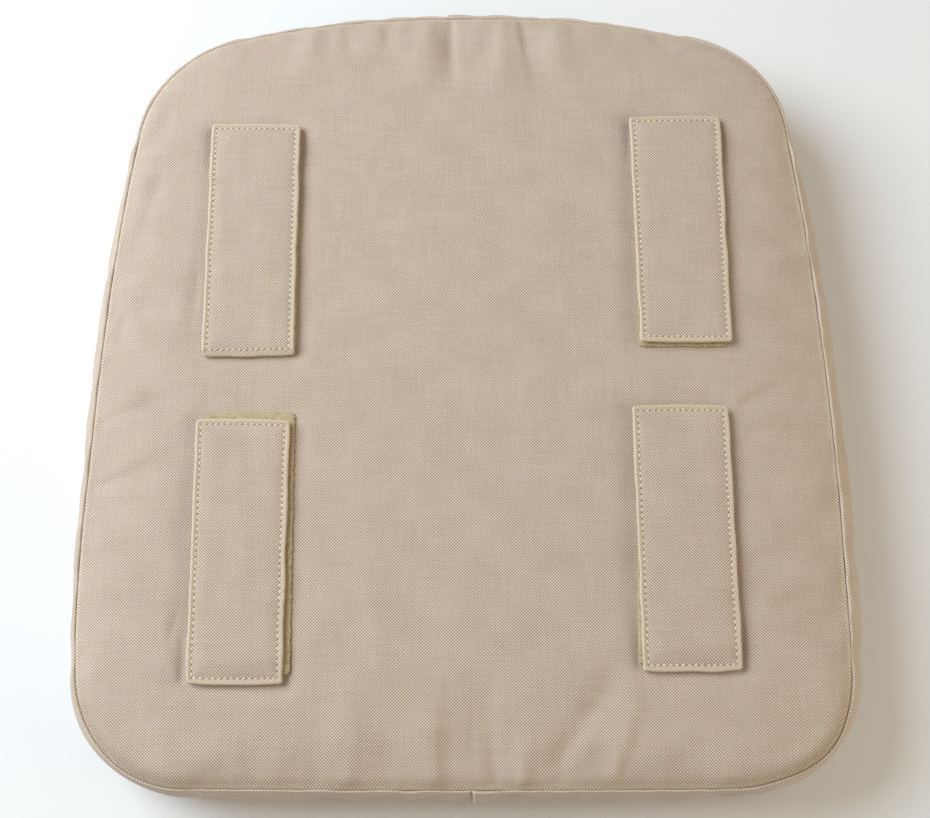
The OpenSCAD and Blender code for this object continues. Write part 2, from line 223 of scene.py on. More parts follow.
def canvas(name, wear_and_painted_light):
    """Canvas with the weave all over it. The given function adds the wear, painted shade and painted
    highlights beside its edge.
    """
    cloth = Finish(name, Specular_IOR_Level=0.15, Sheen_Weight=0.08, Sheen_Roughness=0.6)
    flat = cloth.uv("weave", 1 / (THREAD_PITCH * MM))
    drift = cloth.noise(flat, 0.09, 3.0, 1)
    moved = cloth.vector_maths("MULTIPLY_ADD", {0: drift, 1: (1.6, 1.6, 0), 2: flat})
    turns = cloth.vector_maths("SCALE", {0: moved, "Scale": math.pi})
    sines = cloth.vector_maths("SINE", {0: turns})
    cosines = cloth.vector_maths("COSINE", {0: turns})
    across, along = cloth.part(sines, 0), cloth.part(sines, 1)
    over = across * along
    slant = cloth.part(cosines, 0) * cloth.part(cosines, 1) * (cloth.noise(flat, 0.22, 1.0) * 4 - 2)
    warp_yarn = cloth.noise(cloth.stretch(moved, (0.8, 0.03, 1)), 1.0, 1.0)
    weft_yarn = cloth.noise(cloth.stretch(moved, (0.03, 0.8, 1)), 1.0, 1.0)
    fuzz = cloth.noise(flat, 1.3, 2.0)
    patch = cloth.noise(flat, 0.035, 2.0)
    threads = over * 0.42 + slant * 0.25
    shade = threads + warp_yarn * 0.11 + weft_yarn * 0.11 + fuzz * 0.34 + patch * 0.14 + 0.16
    colour = cloth.mix(shade, CANVAS_DARK, CANVAS_LIGHT)
    tint = cloth.mix(cloth.step(cloth.noise(flat, 0.12, 1.0), 0.35, 0.65), WARM_TINT, COOL_TINT)
    colour = cloth.mix(1.0, colour, tint, "MULTIPLY")
    height = (1 + over) * abs(across) * 0.5 + (1 - over) * abs(along) * 0.5 + fuzz * 0.3
    colour, height = wear_and_painted_light(cloth, flat, colour, height)
    return cloth.paint(colour, 0.88 - fuzz * 0.1, height, 0.45, 0.0003)


# %% [markdown]
# A seam shows painted shade, with some dirt, in its groove, thread ticks and rubbed cream yarns close
# to it, painted highlights on its rolled ridge and beside the front joint, and painted shade along the
# front. A hem has painted shade in the needle hole of each stitch, a painted highlight along its folded
# edge and a worn strip outside the stitches.
# The UV maps "seam" and "hem" hold the distance along the edge, and the distance inside it.

# %% Wear, painted shade and painted highlights beside seams and hems
# painted shade in the seam's groove, with some dirt, and in the needle holes
HOLLOW_SHADE_BROWN = (0.16, 0.085, 0.035, 1)
# painted shade along the front seam, where the panel curves down away from the light
FRONT_PAINTED_SHADE = (0.34, 0.25, 0.14, 1)
# rubbed cream yarn, and also a painted highlight on ridges and folded edges
CREAM_YARN_AND_HIGHLIGHT = (0.92, 0.83, 0.70, 1)
HEM_OLIVE = (0.78, 0.65, 0.46, 1)
STITCH_IN, STITCH_PITCH = 3.0, 3.5
# painted shade lies in front of the first line, and fades away towards the second
SHADE_START_Y, SHADE_END_Y = -215, -165


# wear, painted shade and painted highlights beside a seam
def seam_wear_and_painted_light(cloth, flat, colour, height):
    edge = cloth.uv("seam", 1 / MM)
    run, inset = cloth.part(edge, 0), cloth.part(edge, 1)
    near = abs(inset)
    uneven = cloth.noise(cloth.stretch(edge, (0.5, 1.2, 1)), 1.0, 3.0)
    beside = 1 - cloth.step(near, 0.8, 3.2)
    ticks = (run * 3.8 + inset * 2.0 + uneven * 6).maths("SINE")
    # cream beside the seam: partly rubbed yarn, partly a painted highlight on the rolled ridge and its
    # puckers
    colour = cloth.mix((uneven * 0.6 + ticks * 0.24) * beside, colour, CREAM_YARN_AND_HIGHLIGHT)
    # painted highlight on the lifted ridge beside the front joint, with frayed cream yarn
    joint = (1 - cloth.step(abs(run - 1.35), 0.2, 0.7)) * (1 - cloth.step(inset, -0.8, -0.2))
    colour = cloth.mix(joint * uneven, colour, CREAM_YARN_AND_HIGHLIGHT)
    # painted shade along the front seam: darker towards the front, close to the seam
    front = 1 - cloth.step(cloth.part(cloth.place(), 1), SHADE_START_Y, SHADE_END_Y)
    painted_shade = (1 - cloth.step(inset, 0.5, 9)) * cloth.step(inset, 0, 0.3) * front
    colour = cloth.mix(painted_shade * uneven * 0.8, colour, FRONT_PAINTED_SHADE)
    # painted shade, with some dirt, in the seam's groove
    colour = cloth.mix((1 - cloth.step(near, 0.15, 0.85)) * 0.85, colour, HOLLOW_SHADE_BROWN)
    return colour, height + ticks * beside * uneven


# wear, painted shade and a painted highlight beside a hem
def hem_wear_and_painted_light(cloth, flat, colour, height):
    edge = cloth.uv("hem", 1 / MM)
    run, inset = cloth.part(edge, 0), cloth.part(edge, 1)
    to_hole = (0.5 - abs(run.maths("FRACT") - 0.5)) * STITCH_PITCH
    hole = 1 - cloth.step(to_hole + abs(inset - STITCH_IN) * 1.1, 0.35, 0.85)
    fold = 1 - cloth.step(inset, 0.5, 1.5)
    blotch = cloth.noise(flat, 0.7, 3.0)
    worn = (1 - cloth.step(inset, 2.6, 4.4)) * blotch
    colour = cloth.mix(worn * 0.5, colour, HEM_OLIVE)
    # painted highlight along the flap's folded edge
    colour = cloth.mix(fold * 0.25, colour, CREAM_YARN_AND_HIGHLIGHT)
    # painted shade in each needle hole
    colour = cloth.mix(hole * blotch * 1.5, colour, HOLLOW_SHADE_BROWN)
    return colour, height - hole * 1.2 + worn * 0.6


COVER_CANVAS = canvas("canvas", seam_wear_and_painted_light)
STRAP_CANVAS = canvas("strap canvas", hem_wear_and_painted_light)
print("canvas nodes", len(COVER_CANVAS.node_tree.nodes), len(STRAP_CANVAS.node_tree.nodes))

# %% [markdown]
# ## Thread, tapes, zip and filling
# The sewing thread is two plies twisted together, so its bump is a slanted wave, and its ends carry
# painted shade where they enter a needle hole. The loop tape's pile has no order at all, which layered
# noise gives. The hook tape is moulded with fine ribs.

# %% Thread and tape finishes
def thread_finish():
    thread = Finish("sewing thread", Specular_IOR_Level=0.25, Sheen_Weight=0.1)
    flat = thread.uv("weave", 1 / MM)
    twist = (thread.part(flat, 0) * 9 + thread.part(flat, 1) * 5).maths("SINE")
    fuzz = thread.noise(thread.place(), 1.7)
    colour = thread.mix(fuzz * 0.6 + twist * 0.2 + 0.2, (0.76, 0.66, 0.52, 1), (0.96, 0.90, 0.79, 1))
    # painted shade at the thread's ends, where they dive into the needle holes
    tip = thread.step(abs(thread.part(flat, 0)), 0.7, 0.95)
    colour = thread.mix(tip * 0.8, colour, (0.22, 0.15, 0.08, 1))
    return thread.paint(colour, 0.7 + fuzz * 0.1, twist + fuzz, 0.5, 0.0001)


def pile_finish():
    pile = Finish("loop pile", Specular_IOR_Level=0.1, Sheen_Weight=0.2, Sheen_Roughness=0.5)
    place = pile.place()
    curls = pile.noise(place, 1.5, 4.0)
    clumps = pile.noise(place, 0.35, 2.0)
    colour = pile.mix(curls * 1.5 + clumps * 0.5 - 0.5, (0.28, 0.20, 0.10, 1), (0.82, 0.68, 0.46, 1))
    return pile.paint(colour, 0.95 - clumps * 0.05, curls + clumps * 0.5, 0.8, 0.0006)


def hook_finish():
    hook = Finish("hook tape", Specular_IOR_Level=0.4)
    place = hook.place()
    ribs = (hook.part(place, 1) * 4.2).maths("SINE")
    cloud = hook.noise(place, 0.6)
    colour = hook.mix(cloud + ribs * 0.12, (0.36, 0.28, 0.16, 1), (0.62, 0.52, 0.34, 1))
    return hook.paint(colour, 0.5 + cloud * 0.2, ribs + cloud, 0.3, 0.0002)


THREAD = thread_finish()
PILE = pile_finish()
HOOKS = hook_finish()
print("finishes", len(bpy.data.materials))

# %% [markdown]
# The zip's tape is a fine herringbone: its threads slant one way and then the other. Its teeth are
# moulded plastic, and its slider is painted metal with a few bright scratches.

# %% Zip finishes
def zip_cloth_finish():
    tape = Finish("zip cloth", Specular_IOR_Level=0.2, Sheen_Weight=0.1)
    place = tape.place()
    slope = tape.part(place, 0) + abs((tape.part(place, 2) * 1.6).maths("SINE")) * 1.2
    twill = (slope * 7).maths("SINE")
    cloud = tape.noise(place, 0.8)
    colour = tape.mix(twill * 0.25 + cloud * 0.7 + 0.1, (0.34, 0.27, 0.19, 1), (0.56, 0.47, 0.37, 1))
    return tape.paint(colour, 0.85 - cloud * 0.1, twill + cloud, 0.4, 0.0002)


def zip_plastic_finish():
    plastic = Finish("zip plastic", Specular_IOR_Level=0.5)
    place = plastic.place()
    cloud = plastic.noise(place, 0.4)
    grain = plastic.noise(place, 6.0)
    colour = plastic.mix(cloud * 0.7 + grain * 0.3, (0.36, 0.29, 0.20, 1), (0.47, 0.39, 0.29, 1))
    return plastic.paint(colour, 0.32 + cloud * 0.15, grain, 0.15, 0.0001)


def zip_metal_finish():
    metal = Finish("zip metal", Specular_IOR_Level=0.5)
    place = metal.place()
    cloud = metal.noise(place, 0.5)
    scratch = metal.noise(metal.stretch(place, (1, 1, 9)), 1.2, 4.0)
    worn = metal.step(scratch + cloud * 0.2, 0.64, 0.76)
    colour = metal.mix(cloud, (0.30, 0.24, 0.16, 1), (0.40, 0.33, 0.24, 1))
    colour = metal.mix(worn, colour, (0.62, 0.60, 0.56, 1))
    metal.feed(metal.shader, {"Metallic": worn * 0.8})
    return metal.paint(colour, 0.34 + scratch * 0.2, scratch, 0.12, 0.0001)


ZIP_CLOTH = zip_cloth_finish()
ZIP_PLASTIC = zip_plastic_finish()
ZIP_METAL = zip_metal_finish()
print("finishes", len(bpy.data.materials))

# %% [markdown]
# Cut foam shows its cells, which are a cell pattern, and the wrap shows long loose strands, which
# are noise drawn out along one direction.

# %% Filling finishes
def foam_finish():
    foam = Finish("foam", Specular_IOR_Level=0.1)
    place = foam.place()
    cells = foam.node("ShaderNodeTexVoronoi", {}, {"Vector": place, "Scale": 0.9})
    cloud = foam.noise(place, 0.05)
    colour = foam.mix(cells * 0.6 + cloud * 0.4, (0.62, 0.56, 0.42, 1), (0.88, 0.84, 0.74, 1))
    return foam.paint(colour, 0.95 - cloud * 0.05, cells, 0.6, 0.0008)


def fibre_finish():
    fibre = Finish("fibre", Specular_IOR_Level=0.1, Sheen_Weight=0.2)
    place = fibre.place()
    strands = fibre.noise(fibre.stretch(place, (1, 0.15, 1)), 1.1, 5.0)
    clumps = fibre.noise(place, 0.06)
    colour = fibre.mix(strands * 0.7 + clumps * 0.3, (0.74, 0.74, 0.72, 1), (0.95, 0.95, 0.94, 1))
    return fibre.paint(colour, 0.95 - clumps * 0.05, strands, 0.7, 0.0010)


FOAM = foam_finish()
FIBRE = fibre_finish()
print("finishes", len(bpy.data.materials))

# %% [markdown]
# ## Outline
# The two panels are cut to one outline of long arcs with corner arcs that touch them. A pattern
# maker would draw them with a compass, so they are worked out in that way: where two circles meet
# is the centre of the corner arc between them.

# %% Outline arcs
REAR_R, FRONT_R, SIDE_R = 606, 12000, 1880
REAR_CORNER_R, FRONT_CORNER_R, WIDEST_Y = 79, 65, -84
ZIP_END_IN, ZIP_SLOT, ZIP_OUT = 14, 12, 5.2
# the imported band's clearance, and where along its height it stands out most at the front and the rear
BAND_GAP, REAR_SHARE = 0.3, 0.25
FRONT_SHARE = (1 - ZIP_SLOT / (BAND_H - BAND_GAP)) / 2
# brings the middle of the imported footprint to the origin
SHIFT_Y = (FRONT_BULGE * swell(FRONT_SHARE) - REAR_BULGE * swell(REAR_SHARE)) / 2


def meet(c0, r0, c1, r1, towards):
    """Of the two points where circles meet, the one that lies towards a direction."""
    c0, c1 = np.array(c0, float), np.array(c1, float)
    apart = np.linalg.norm(c1 - c0)
    near = (r0 * r0 - r1 * r1 + apart * apart) / (2 * apart)
    off = math.sqrt(r0 * r0 - near * near)
    along = (c1 - c0) / apart
    across = np.array([-along[1], along[0]])
    both = [c0 + near * along + off * across, c0 + near * along - off * across]
    return max(both, key=lambda point: point @ np.array(towards))


def heading(start, end):
    """The direction from one point to another, in degrees."""
    return math.degrees(math.atan2(end[1] - start[1], end[0] - start[0]))


side_c = np.array([SEAM_W / 2 - SIDE_R, WIDEST_Y + SHIFT_Y])
rear_c = np.array([0, SEAM_D / 2 - REAR_R + SHIFT_Y])
front_c = np.array([0, FRONT_R - SEAM_D / 2 + SHIFT_Y])
rear_k = meet(side_c, SIDE_R - REAR_CORNER_R, rear_c, REAR_R - REAR_CORNER_R, (1, 1))
front_k = meet(side_c, SIDE_R - FRONT_CORNER_R, front_c, FRONT_R - FRONT_CORNER_R, (1, -1))
front_a, low_a = heading(front_c, front_k), heading(side_c, front_k)
high_a, rear_a = heading(side_c, rear_k), heading(rear_c, rear_k)
joint_a = -math.degrees(math.acos(FRONT_JOINT_X / FRONT_R))
# each arc: centre, radius, first and last angle in degrees, anticlockwise from the front joint
right_half = [
    (front_k, FRONT_CORNER_R, front_a, low_a),
    (side_c, SIDE_R, low_a, high_a),
    (rear_k, REAR_CORNER_R, high_a, rear_a),
]
left_half = [(c * np.array([-1, 1]), r, 180 - a1, 180 - a0) for c, r, a0, a1 in reversed(right_half)]
ARCS = [
    (front_c, FRONT_R, joint_a, front_a), *right_half,
    (rear_c, REAR_R, rear_a, 180 - rear_a), *left_half,
    (front_c, FRONT_R, 180 - front_a, 360 + joint_a),
]
ARC_STARTS = np.cumsum([0] + [r * math.radians(a1 - a0) for _, r, a0, a1 in ARCS])
AROUND = ARC_STARTS[-1]
ZIP_HALF = REAR_R * math.cos(math.radians(rear_a)) - ZIP_END_IN
print("seam length", round(AROUND), "zip half length", round(ZIP_HALF, 1))

# %% [markdown]
# A point of the seam has a distance along it, measured from the front joint, and any point of the
# cover has a place beside it. That is how puckers, joints and stitches find the seam later.

# %% Places along the seam
def rear_place(x):
    """The place along the seam of a point of the rear arc."""
    return ARC_STARTS[4] + REAR_R * (math.acos(x / REAR_R) - math.radians(rear_a))


def seam_point(s):
    """The point of the seam at a distance along it, and its outward direction."""
    k = np.clip(np.searchsorted(ARC_STARTS, s, "right") - 1, 0, len(ARCS) - 1)
    centres, radii, first_angles = (np.array([arc[part] for arc in ARCS])[k] for part in range(3))
    angles = np.radians(first_angles) + (s - ARC_STARTS[k]) / radii
    out = np.stack([np.cos(angles), np.sin(angles)], 1)
    return centres + radii[:, None] * out, out


def seam_place(xy):
    """For points of the cover, how far along the seam and how far inside it they are."""
    best = np.full(len(xy), np.inf)
    along, inside = np.zeros(len(xy)), np.zeros(len(xy))
    for (centre, radius, a0, a1), start in zip(ARCS, ARC_STARTS):
        from_c = xy - centre
        middle = (a0 + a1) / 2
        angle = np.degrees(np.arctan2(from_c[:, 1], from_c[:, 0]))
        angle = np.clip(middle + (angle - middle + 180) % 360 - 180, a0, a1)
        turn = np.radians(angle)
        nearest = centre + radius * np.stack([np.cos(turn), np.sin(turn)], 1)
        away = np.linalg.norm(xy - nearest, axis=1)
        closer = away < best
        best[closer] = away[closer]
        along[closer] = (start + radius * np.radians(angle - a0))[closer]
        within = np.linalg.norm(from_c, axis=1) < radius
        inside[closer] = np.where(within, away, -away)[closer]
    return along, inside


REAR_JOINT_S = rear_place(REAR_JOINT_X)
print("rear joint", round(REAR_JOINT_S), "mm along the seam")

# %% [markdown]
# ## The sewn form
# Sewing makes the cover's shape, so the form starts as it is sewn: two panels and a band between
# them, in one closed mesh. Rings of faces follow the seam, where the cloth curves most, and a grid
# fills the middle. The rings lie closer near the seam, and the columns closer near the band's joints.

# %% Stations and rings of the form
SIDE_CELLS = 60
RINGS = (0, 2.5, 5.5, 9.5, 15, 23, 32, 42)
SHOULDER_H, FRONT_SHOULDER, SHOULDER_W, CROWN_REACH = 3.4, 2.6, 4.0, 64
BAND_ROWS = (0, 2.5, 6, 11, 18, 24, 30, 37, 42, 45.5, 48)
SLOT_ROWS = (4, 5)
BESIDE_JOINT = 2.5


def corner_middle(k):
    return (ARC_STARTS[k] + ARC_STARTS[k + 1]) / 2


def spread(stops):
    """SIDE_CELLS places along a side from stop to stop, with two short cells beside a joint."""
    lengths = np.diff(stops)
    long = lengths > BESIDE_JOINT + 0.5
    counts = np.where(long, 0, 2)
    free = SIDE_CELLS - counts.sum()
    counts[long] = np.round(lengths[long] / lengths[long].sum() * free)
    counts[np.argmax(lengths)] += SIDE_CELLS - counts.sum()
    runs = zip(stops, stops[1:], counts)
    return np.concatenate([np.linspace(first, last, n, endpoint=False) for first, last, n in runs])


front_side = spread([
    corner_middle(7), AROUND - BESIDE_JOINT, AROUND, AROUND + BESIDE_JOINT, AROUND + corner_middle(1),
])
right_side = spread([corner_middle(1), corner_middle(3)])
rear_side = spread([
    corner_middle(3), rear_place(ZIP_HALF), REAR_JOINT_S - BESIDE_JOINT, REAR_JOINT_S,
    REAR_JOINT_S + BESIDE_JOINT, rear_place(-ZIP_HALF), corner_middle(5),
])
left_side = spread([corner_middle(5), corner_middle(7)])
STATIONS = np.concatenate([front_side, right_side, rear_side, left_side])
N = len(STATIONS)
# the numbers of a ring's points, and of the point after each of them
here, after = np.arange(N), (np.arange(N) + 1) % N
station_xy, station_out = seam_point(STATIONS % AROUND)
print("stations", N)

# %% [markdown]
# The grid in the middle is a patch between the four sides of the innermost ring. Rounds of
# averaging space its lines evenly.

# %% Grid in the middle of a panel
AVERAGING_ROUNDS = 60


def middle_grid(ring):
    """Points of a square grid whose edge is the ring, which starts at the front left corner."""
    n = SIDE_CELLS
    closed = np.vstack([ring, ring[:1]])
    front, right = closed[: n + 1], closed[n: 2 * n + 1]
    rear, left = closed[2 * n: 3 * n + 1][::-1], closed[3 * n: 4 * n + 1][::-1]
    a = np.linspace(0, 1, n + 1)[:, None, None]
    b = np.linspace(0, 1, n + 1)[None, :, None]
    grid = (1 - b) * front[:, None] + b * rear[:, None] + (1 - a) * left[None] + a * right[None]
    grid = grid - (1 - a) * (1 - b) * front[0] - a * (1 - b) * front[-1]
    grid = grid - (1 - a) * b * rear[0] - a * b * rear[-1]
    for _ in range(AVERAGING_ROUNDS):
        inner = (grid[2:, 1:-1] + grid[:-2, 1:-1] + grid[1:-1, 2:] + grid[1:-1, :-2]) / 4
        grid[1:-1, 1:-1] = inner
    return grid


def panel_layout():
    """Flat points of a panel, and its faces seen from above."""
    rings = [station_xy - u * station_out for u in RINGS]
    grid = middle_grid(rings[-1])
    n, last = SIDE_CELLS, (len(RINGS) - 1) * N
    number = np.zeros((n + 1, n + 1), int)
    edge = [(k, 0) for k in range(n)] + [(n, k) for k in range(n)]
    edge += [(n - k, n) for k in range(n)] + [(0, n - k) for k in range(n)]
    for k, (i, j) in enumerate(edge):
        number[i, j] = last + k
    number[1:-1, 1:-1] = last + N + np.arange((n - 1) ** 2).reshape(n - 1, n - 1)
    points = np.vstack(rings + [grid[1:-1, 1:-1].reshape(-1, 2)])
    faces = [
        np.stack([j + here, j + after, j + N + after, j + N + here], 1) for j in range(0, last, N)
    ]
    inner = np.stack([number[:-1, :-1], number[1:, :-1], number[1:, 1:], number[:-1, 1:]], -1)
    return points, np.vstack(faces + [inner.reshape(-1, 4)])


flat_points, panel_faces = panel_layout()
print("panel", len(flat_points), "points", len(panel_faces), "faces")

# %% [markdown]
# The sewn panels are a little lower than the filled ones will be. The band's rows stand out between
# them.

# %% Points and faces of the form
# the share of the crown that the sewn form has before its filling swells it
SEWN_CROWN = 0.85


def crown_height(xy):
    """Height above the seam: a tight shoulder, fuller at the front, then a long gentle rise."""
    s, inside = seam_place(xy)
    inset = np.clip(inside, 0, None)
    high = SHOULDER_H + FRONT_SHOULDER * smooth(0.3, 0.9, -seam_point(s)[1][:, 1])
    shoulder = 1 - np.exp(-((inset / SHOULDER_W) ** 1.3))
    reach = 1 - (1 - np.clip(inset / CROWN_REACH, 0, 1)) ** 1.6
    return high * shoulder + (CROWN_H - high) * reach


def band_bulge(out):
    """The band's bulge where the seam faces a direction."""
    end = np.where(out[:, 1] > 0, REAR_BULGE, FRONT_BULGE)
    return SIDE_BULGE + (end - SIDE_BULGE) * out[:, 1] ** 2


full_crown = crown_height(flat_points)
crown = full_crown * SEWN_CROWN
upper = np.column_stack([flat_points, SEAM_Z + crown])
lower = np.column_stack([flat_points, CROWN_H - crown])
rows = []
for h in BAND_ROWS[1:-1]:
    out = band_bulge(station_out) * swell(h / BAND_H)
    rows.append(np.column_stack([station_xy + out[:, None] * station_out, np.full(N, SEAM_Z - h)]))
form_points = np.vstack([upper, lower] + rows)
P = len(upper)
row_start = [0] + [2 * P + j * N for j in range(len(rows))] + [P]
band_faces = [
    np.stack([a + here, b + here, b + after, a + after], 1) for a, b in zip(row_start, row_start[1:])
]
form_faces = np.vstack([panel_faces, P + panel_faces[:, ::-1]] + band_faces)
print("form", len(form_points), "points", len(form_faces), "faces")

# %% [markdown]
# Every face of the form is marked with its piece, because the pieces part again at the seams. The
# band has two lengths, from joint to joint, and its rear has a slot for the zip.

# %% Mark the pieces of the form
UNDERSIDE, SEAT, BAND_RIGHT, BAND_LEFT, SLOT = range(5)
# only the rear side lies behind this line
REAR_SIDE_Y = 100
cell_s = (STATIONS + np.roll(STATIONS, -1)) / 2
cell_s[STATIONS > np.roll(STATIONS, -1)] += AROUND / 2
cell_s = cell_s % AROUND
cell_xy, _ = seam_point(cell_s)
side_of = np.where(cell_s < REAR_JOINT_S, BAND_RIGHT, BAND_LEFT)
in_slot = (cell_xy[:, 1] > REAR_SIDE_Y) & (np.abs(cell_xy[:, 0]) < ZIP_HALF)
marks = [np.full(len(panel_faces), UNDERSIDE), np.full(len(panel_faces), SEAT)]
for j in range(len(BAND_ROWS) - 1):
    marks.append(np.where(in_slot & (j in SLOT_ROWS), SLOT, side_of))
form_marks = np.concatenate(marks)
print("faces of each piece and of the slot", np.bincount(form_marks))

# %% [markdown]
# ## Filling the cover
# A filled cushion gets its shape from the pressure of its filling, so Blender's cloth does the
# same here. The seams are pinned, the cloth is a little larger than its form, as sewn canvas is,
# and pressure from inside pushes it out. No point may move further than the cap, because the
# cushion's size is fixed.

# %% Cloth simulation
MOVE_CAP = 2.2
SIM_FRAMES = 20
CANVAS_CLOTH = {
    "vertex_group_mass": "seams", "quality": 6, "mass": 0.3, "tension_stiffness": 30,
    "compression_stiffness": 30, "shear_stiffness": 10, "bending_stiffness": 1.5,
    "use_pressure": True, "uniform_pressure_force": 4, "shrink_min": -0.012,
}


def select_only(piece):
    bpy.ops.object.select_all(action="DESELECT")
    piece.select_set(True)
    bpy.context.view_layer.objects.active = piece


def mesh_object(name, points, faces):
    """A new object from millimetre points and lists of their numbers."""
    mesh = bpy.data.meshes.new(name)
    mesh.from_pydata(points * MM, [], faces)
    piece = bpy.data.objects.new(name, mesh)
    bpy.context.scene.collection.objects.link(piece)
    select_only(piece)
    return piece


def fill_with_pressure(points, faces):
    """The form's points after the pressure inside it has pushed them out."""
    form = mesh_object("cover_form", points, faces.tolist())
    pins = form.vertex_groups.new(name="seams")
    pins.add([*range(N), *range(P, P + N)], 1.0, "REPLACE")
    cloth = form.modifiers.new("Cloth", "CLOTH")
    for setting, value in CANVAS_CLOTH.items():
        setattr(cloth.settings, setting, value)
    cloth.settings.effector_weights.gravity = 0
    cloth.collision_settings.use_collision = False
    for frame_number in range(1, SIM_FRAMES + 1):
        bpy.context.scene.frame_set(frame_number)
    shaped = form.evaluated_get(bpy.context.evaluated_depsgraph_get()).to_mesh()
    filled = np.zeros(len(points) * 3)
    shaped.vertices.foreach_get("co", filled)
    bpy.context.scene.frame_set(1)
    bpy.data.objects.remove(form)
    return filled.reshape(-1, 3) / MM


filled_points = fill_with_pressure(form_points, form_faces)
moves = filled_points - form_points
sizes = np.linalg.norm(moves, axis=1)
filled_points = form_points + moves * (1 / np.sqrt(1 + (sizes / MOVE_CAP) ** 2))[:, None]
print("cloth moved", round(float(sizes.max()), 2), "mm at most, capped near", MOVE_CAP)

# %% [markdown]
# ## Shaping the cloth pieces
# Each piece is cut from the form, subdivided twice, and then shaped in code: its edge turns down into
# the seam, the band's edge stands up beside it as a narrow roll, and tucks and soft folds follow the
# photo.

# %% Helpers for the cloth pieces
def ripple(x, y, length, seed):
    """Gentle random waves of about one length, between -1 and 1, the same in every run."""
    rng = np.random.default_rng(seed)
    total = np.zeros(np.shape(x))
    for _ in range(7):
        angle, phase = rng.uniform(0, 2 * math.pi, 2)
        k = 2 * math.pi / (length * rng.uniform(0.7, 1.5))
        total = total + np.sin(k * (x * math.cos(angle) + y * math.sin(angle)) + phase)
    return total / 4


def bell(value, middle, width):
    """1 at the middle, and nearly 0 at two widths from it."""
    return np.exp(-(((value - middle) / width) ** 2))


def apply_modifier(piece, kind, **settings):
    select_only(piece)
    modifier = piece.modifiers.new(kind, kind)
    for setting, value in settings.items():
        setattr(modifier, setting, value)
    bpy.ops.object.modifier_apply(modifier=modifier.name)


def cut_piece(name, mark):
    """A piece of the filled form as its own object, subdivided twice."""
    faces = form_faces[form_marks == mark]
    used, numbers = np.unique(faces, return_inverse=True)
    piece = mesh_object(name, filled_points[used], numbers.reshape(faces.shape).tolist())
    apply_modifier(piece, "SUBSURF", levels=2, boundary_smooth="PRESERVE_CORNERS")
    return piece


# %% [markdown]
# A piece is shaped by reading its points as an array, moving them, and writing them back. Then it gets
# its wall, its UV maps and its material, and the imported piece that it stands for is hidden.

# %% Read, write and finish a piece
def read_points(piece):
    points = np.zeros(len(piece.data.vertices) * 3)
    piece.data.vertices.foreach_get("co", points)
    return points.reshape(-1, 3) / MM


def write_points(piece, points):
    piece.data.vertices.foreach_set("co", (points * MM).ravel())
    piece.data.update()


def add_uv(piece, name, pairs):
    """A UV map from a pair of millimetre values for each point."""
    corners = np.zeros(len(piece.data.loops), int)
    piece.data.loops.foreach_get("vertex_index", corners)
    layer = piece.data.uv_layers.new(name=name)
    layer.data.foreach_set("uv", (pairs[corners] * MM).ravel())


def give_thickness(piece, thickness):
    """Adds a wall below the cloth's outer face."""
    apply_modifier(piece, "SOLIDIFY", thickness=thickness * MM, offset=-1)
    piece.data.shade_smooth()


def finish_piece(piece, material, body, nodes=()):
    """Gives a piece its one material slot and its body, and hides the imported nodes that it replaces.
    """
    piece.data.materials.clear()
    piece.data.materials.append(material)
    if body:
        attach(piece, body)
    if nodes:
        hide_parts(*nodes)
    return piece


# %% [markdown]
# ## The two panels
# The underside panel shows in the photo. Two tucks run in from its rear seam beside the joint,
# slack folds lie towards the front corners, and the straps' sewn ends draw small dimples. The seat
# panel is the same cut, with gentler waves, and it is flat where it lies on the floor.

# %% Straps, folds and pushes
STRAPS = ("rear_left", "rear_right", "front_left", "front_right")
STRAP_W, STRAP_L = 54, 151


def each_strap(*values):
    return dict(zip(STRAPS, values))


# the middle of each sewn end, and the way that the strap runs from there along Y
STRAP_X = each_strap(-129, 133.5, -127.5, 128)
STRAP_Y = each_strap(156.944, 162.944, -187.056, -179.556)
STRAP_WAY = each_strap(-1, -1, 1, 1)
# keeps two cloths apart that lie on each other, and the seat panel off the floor
CLOTH_GAP, FLOOR_GAP = 0.12, 0.02
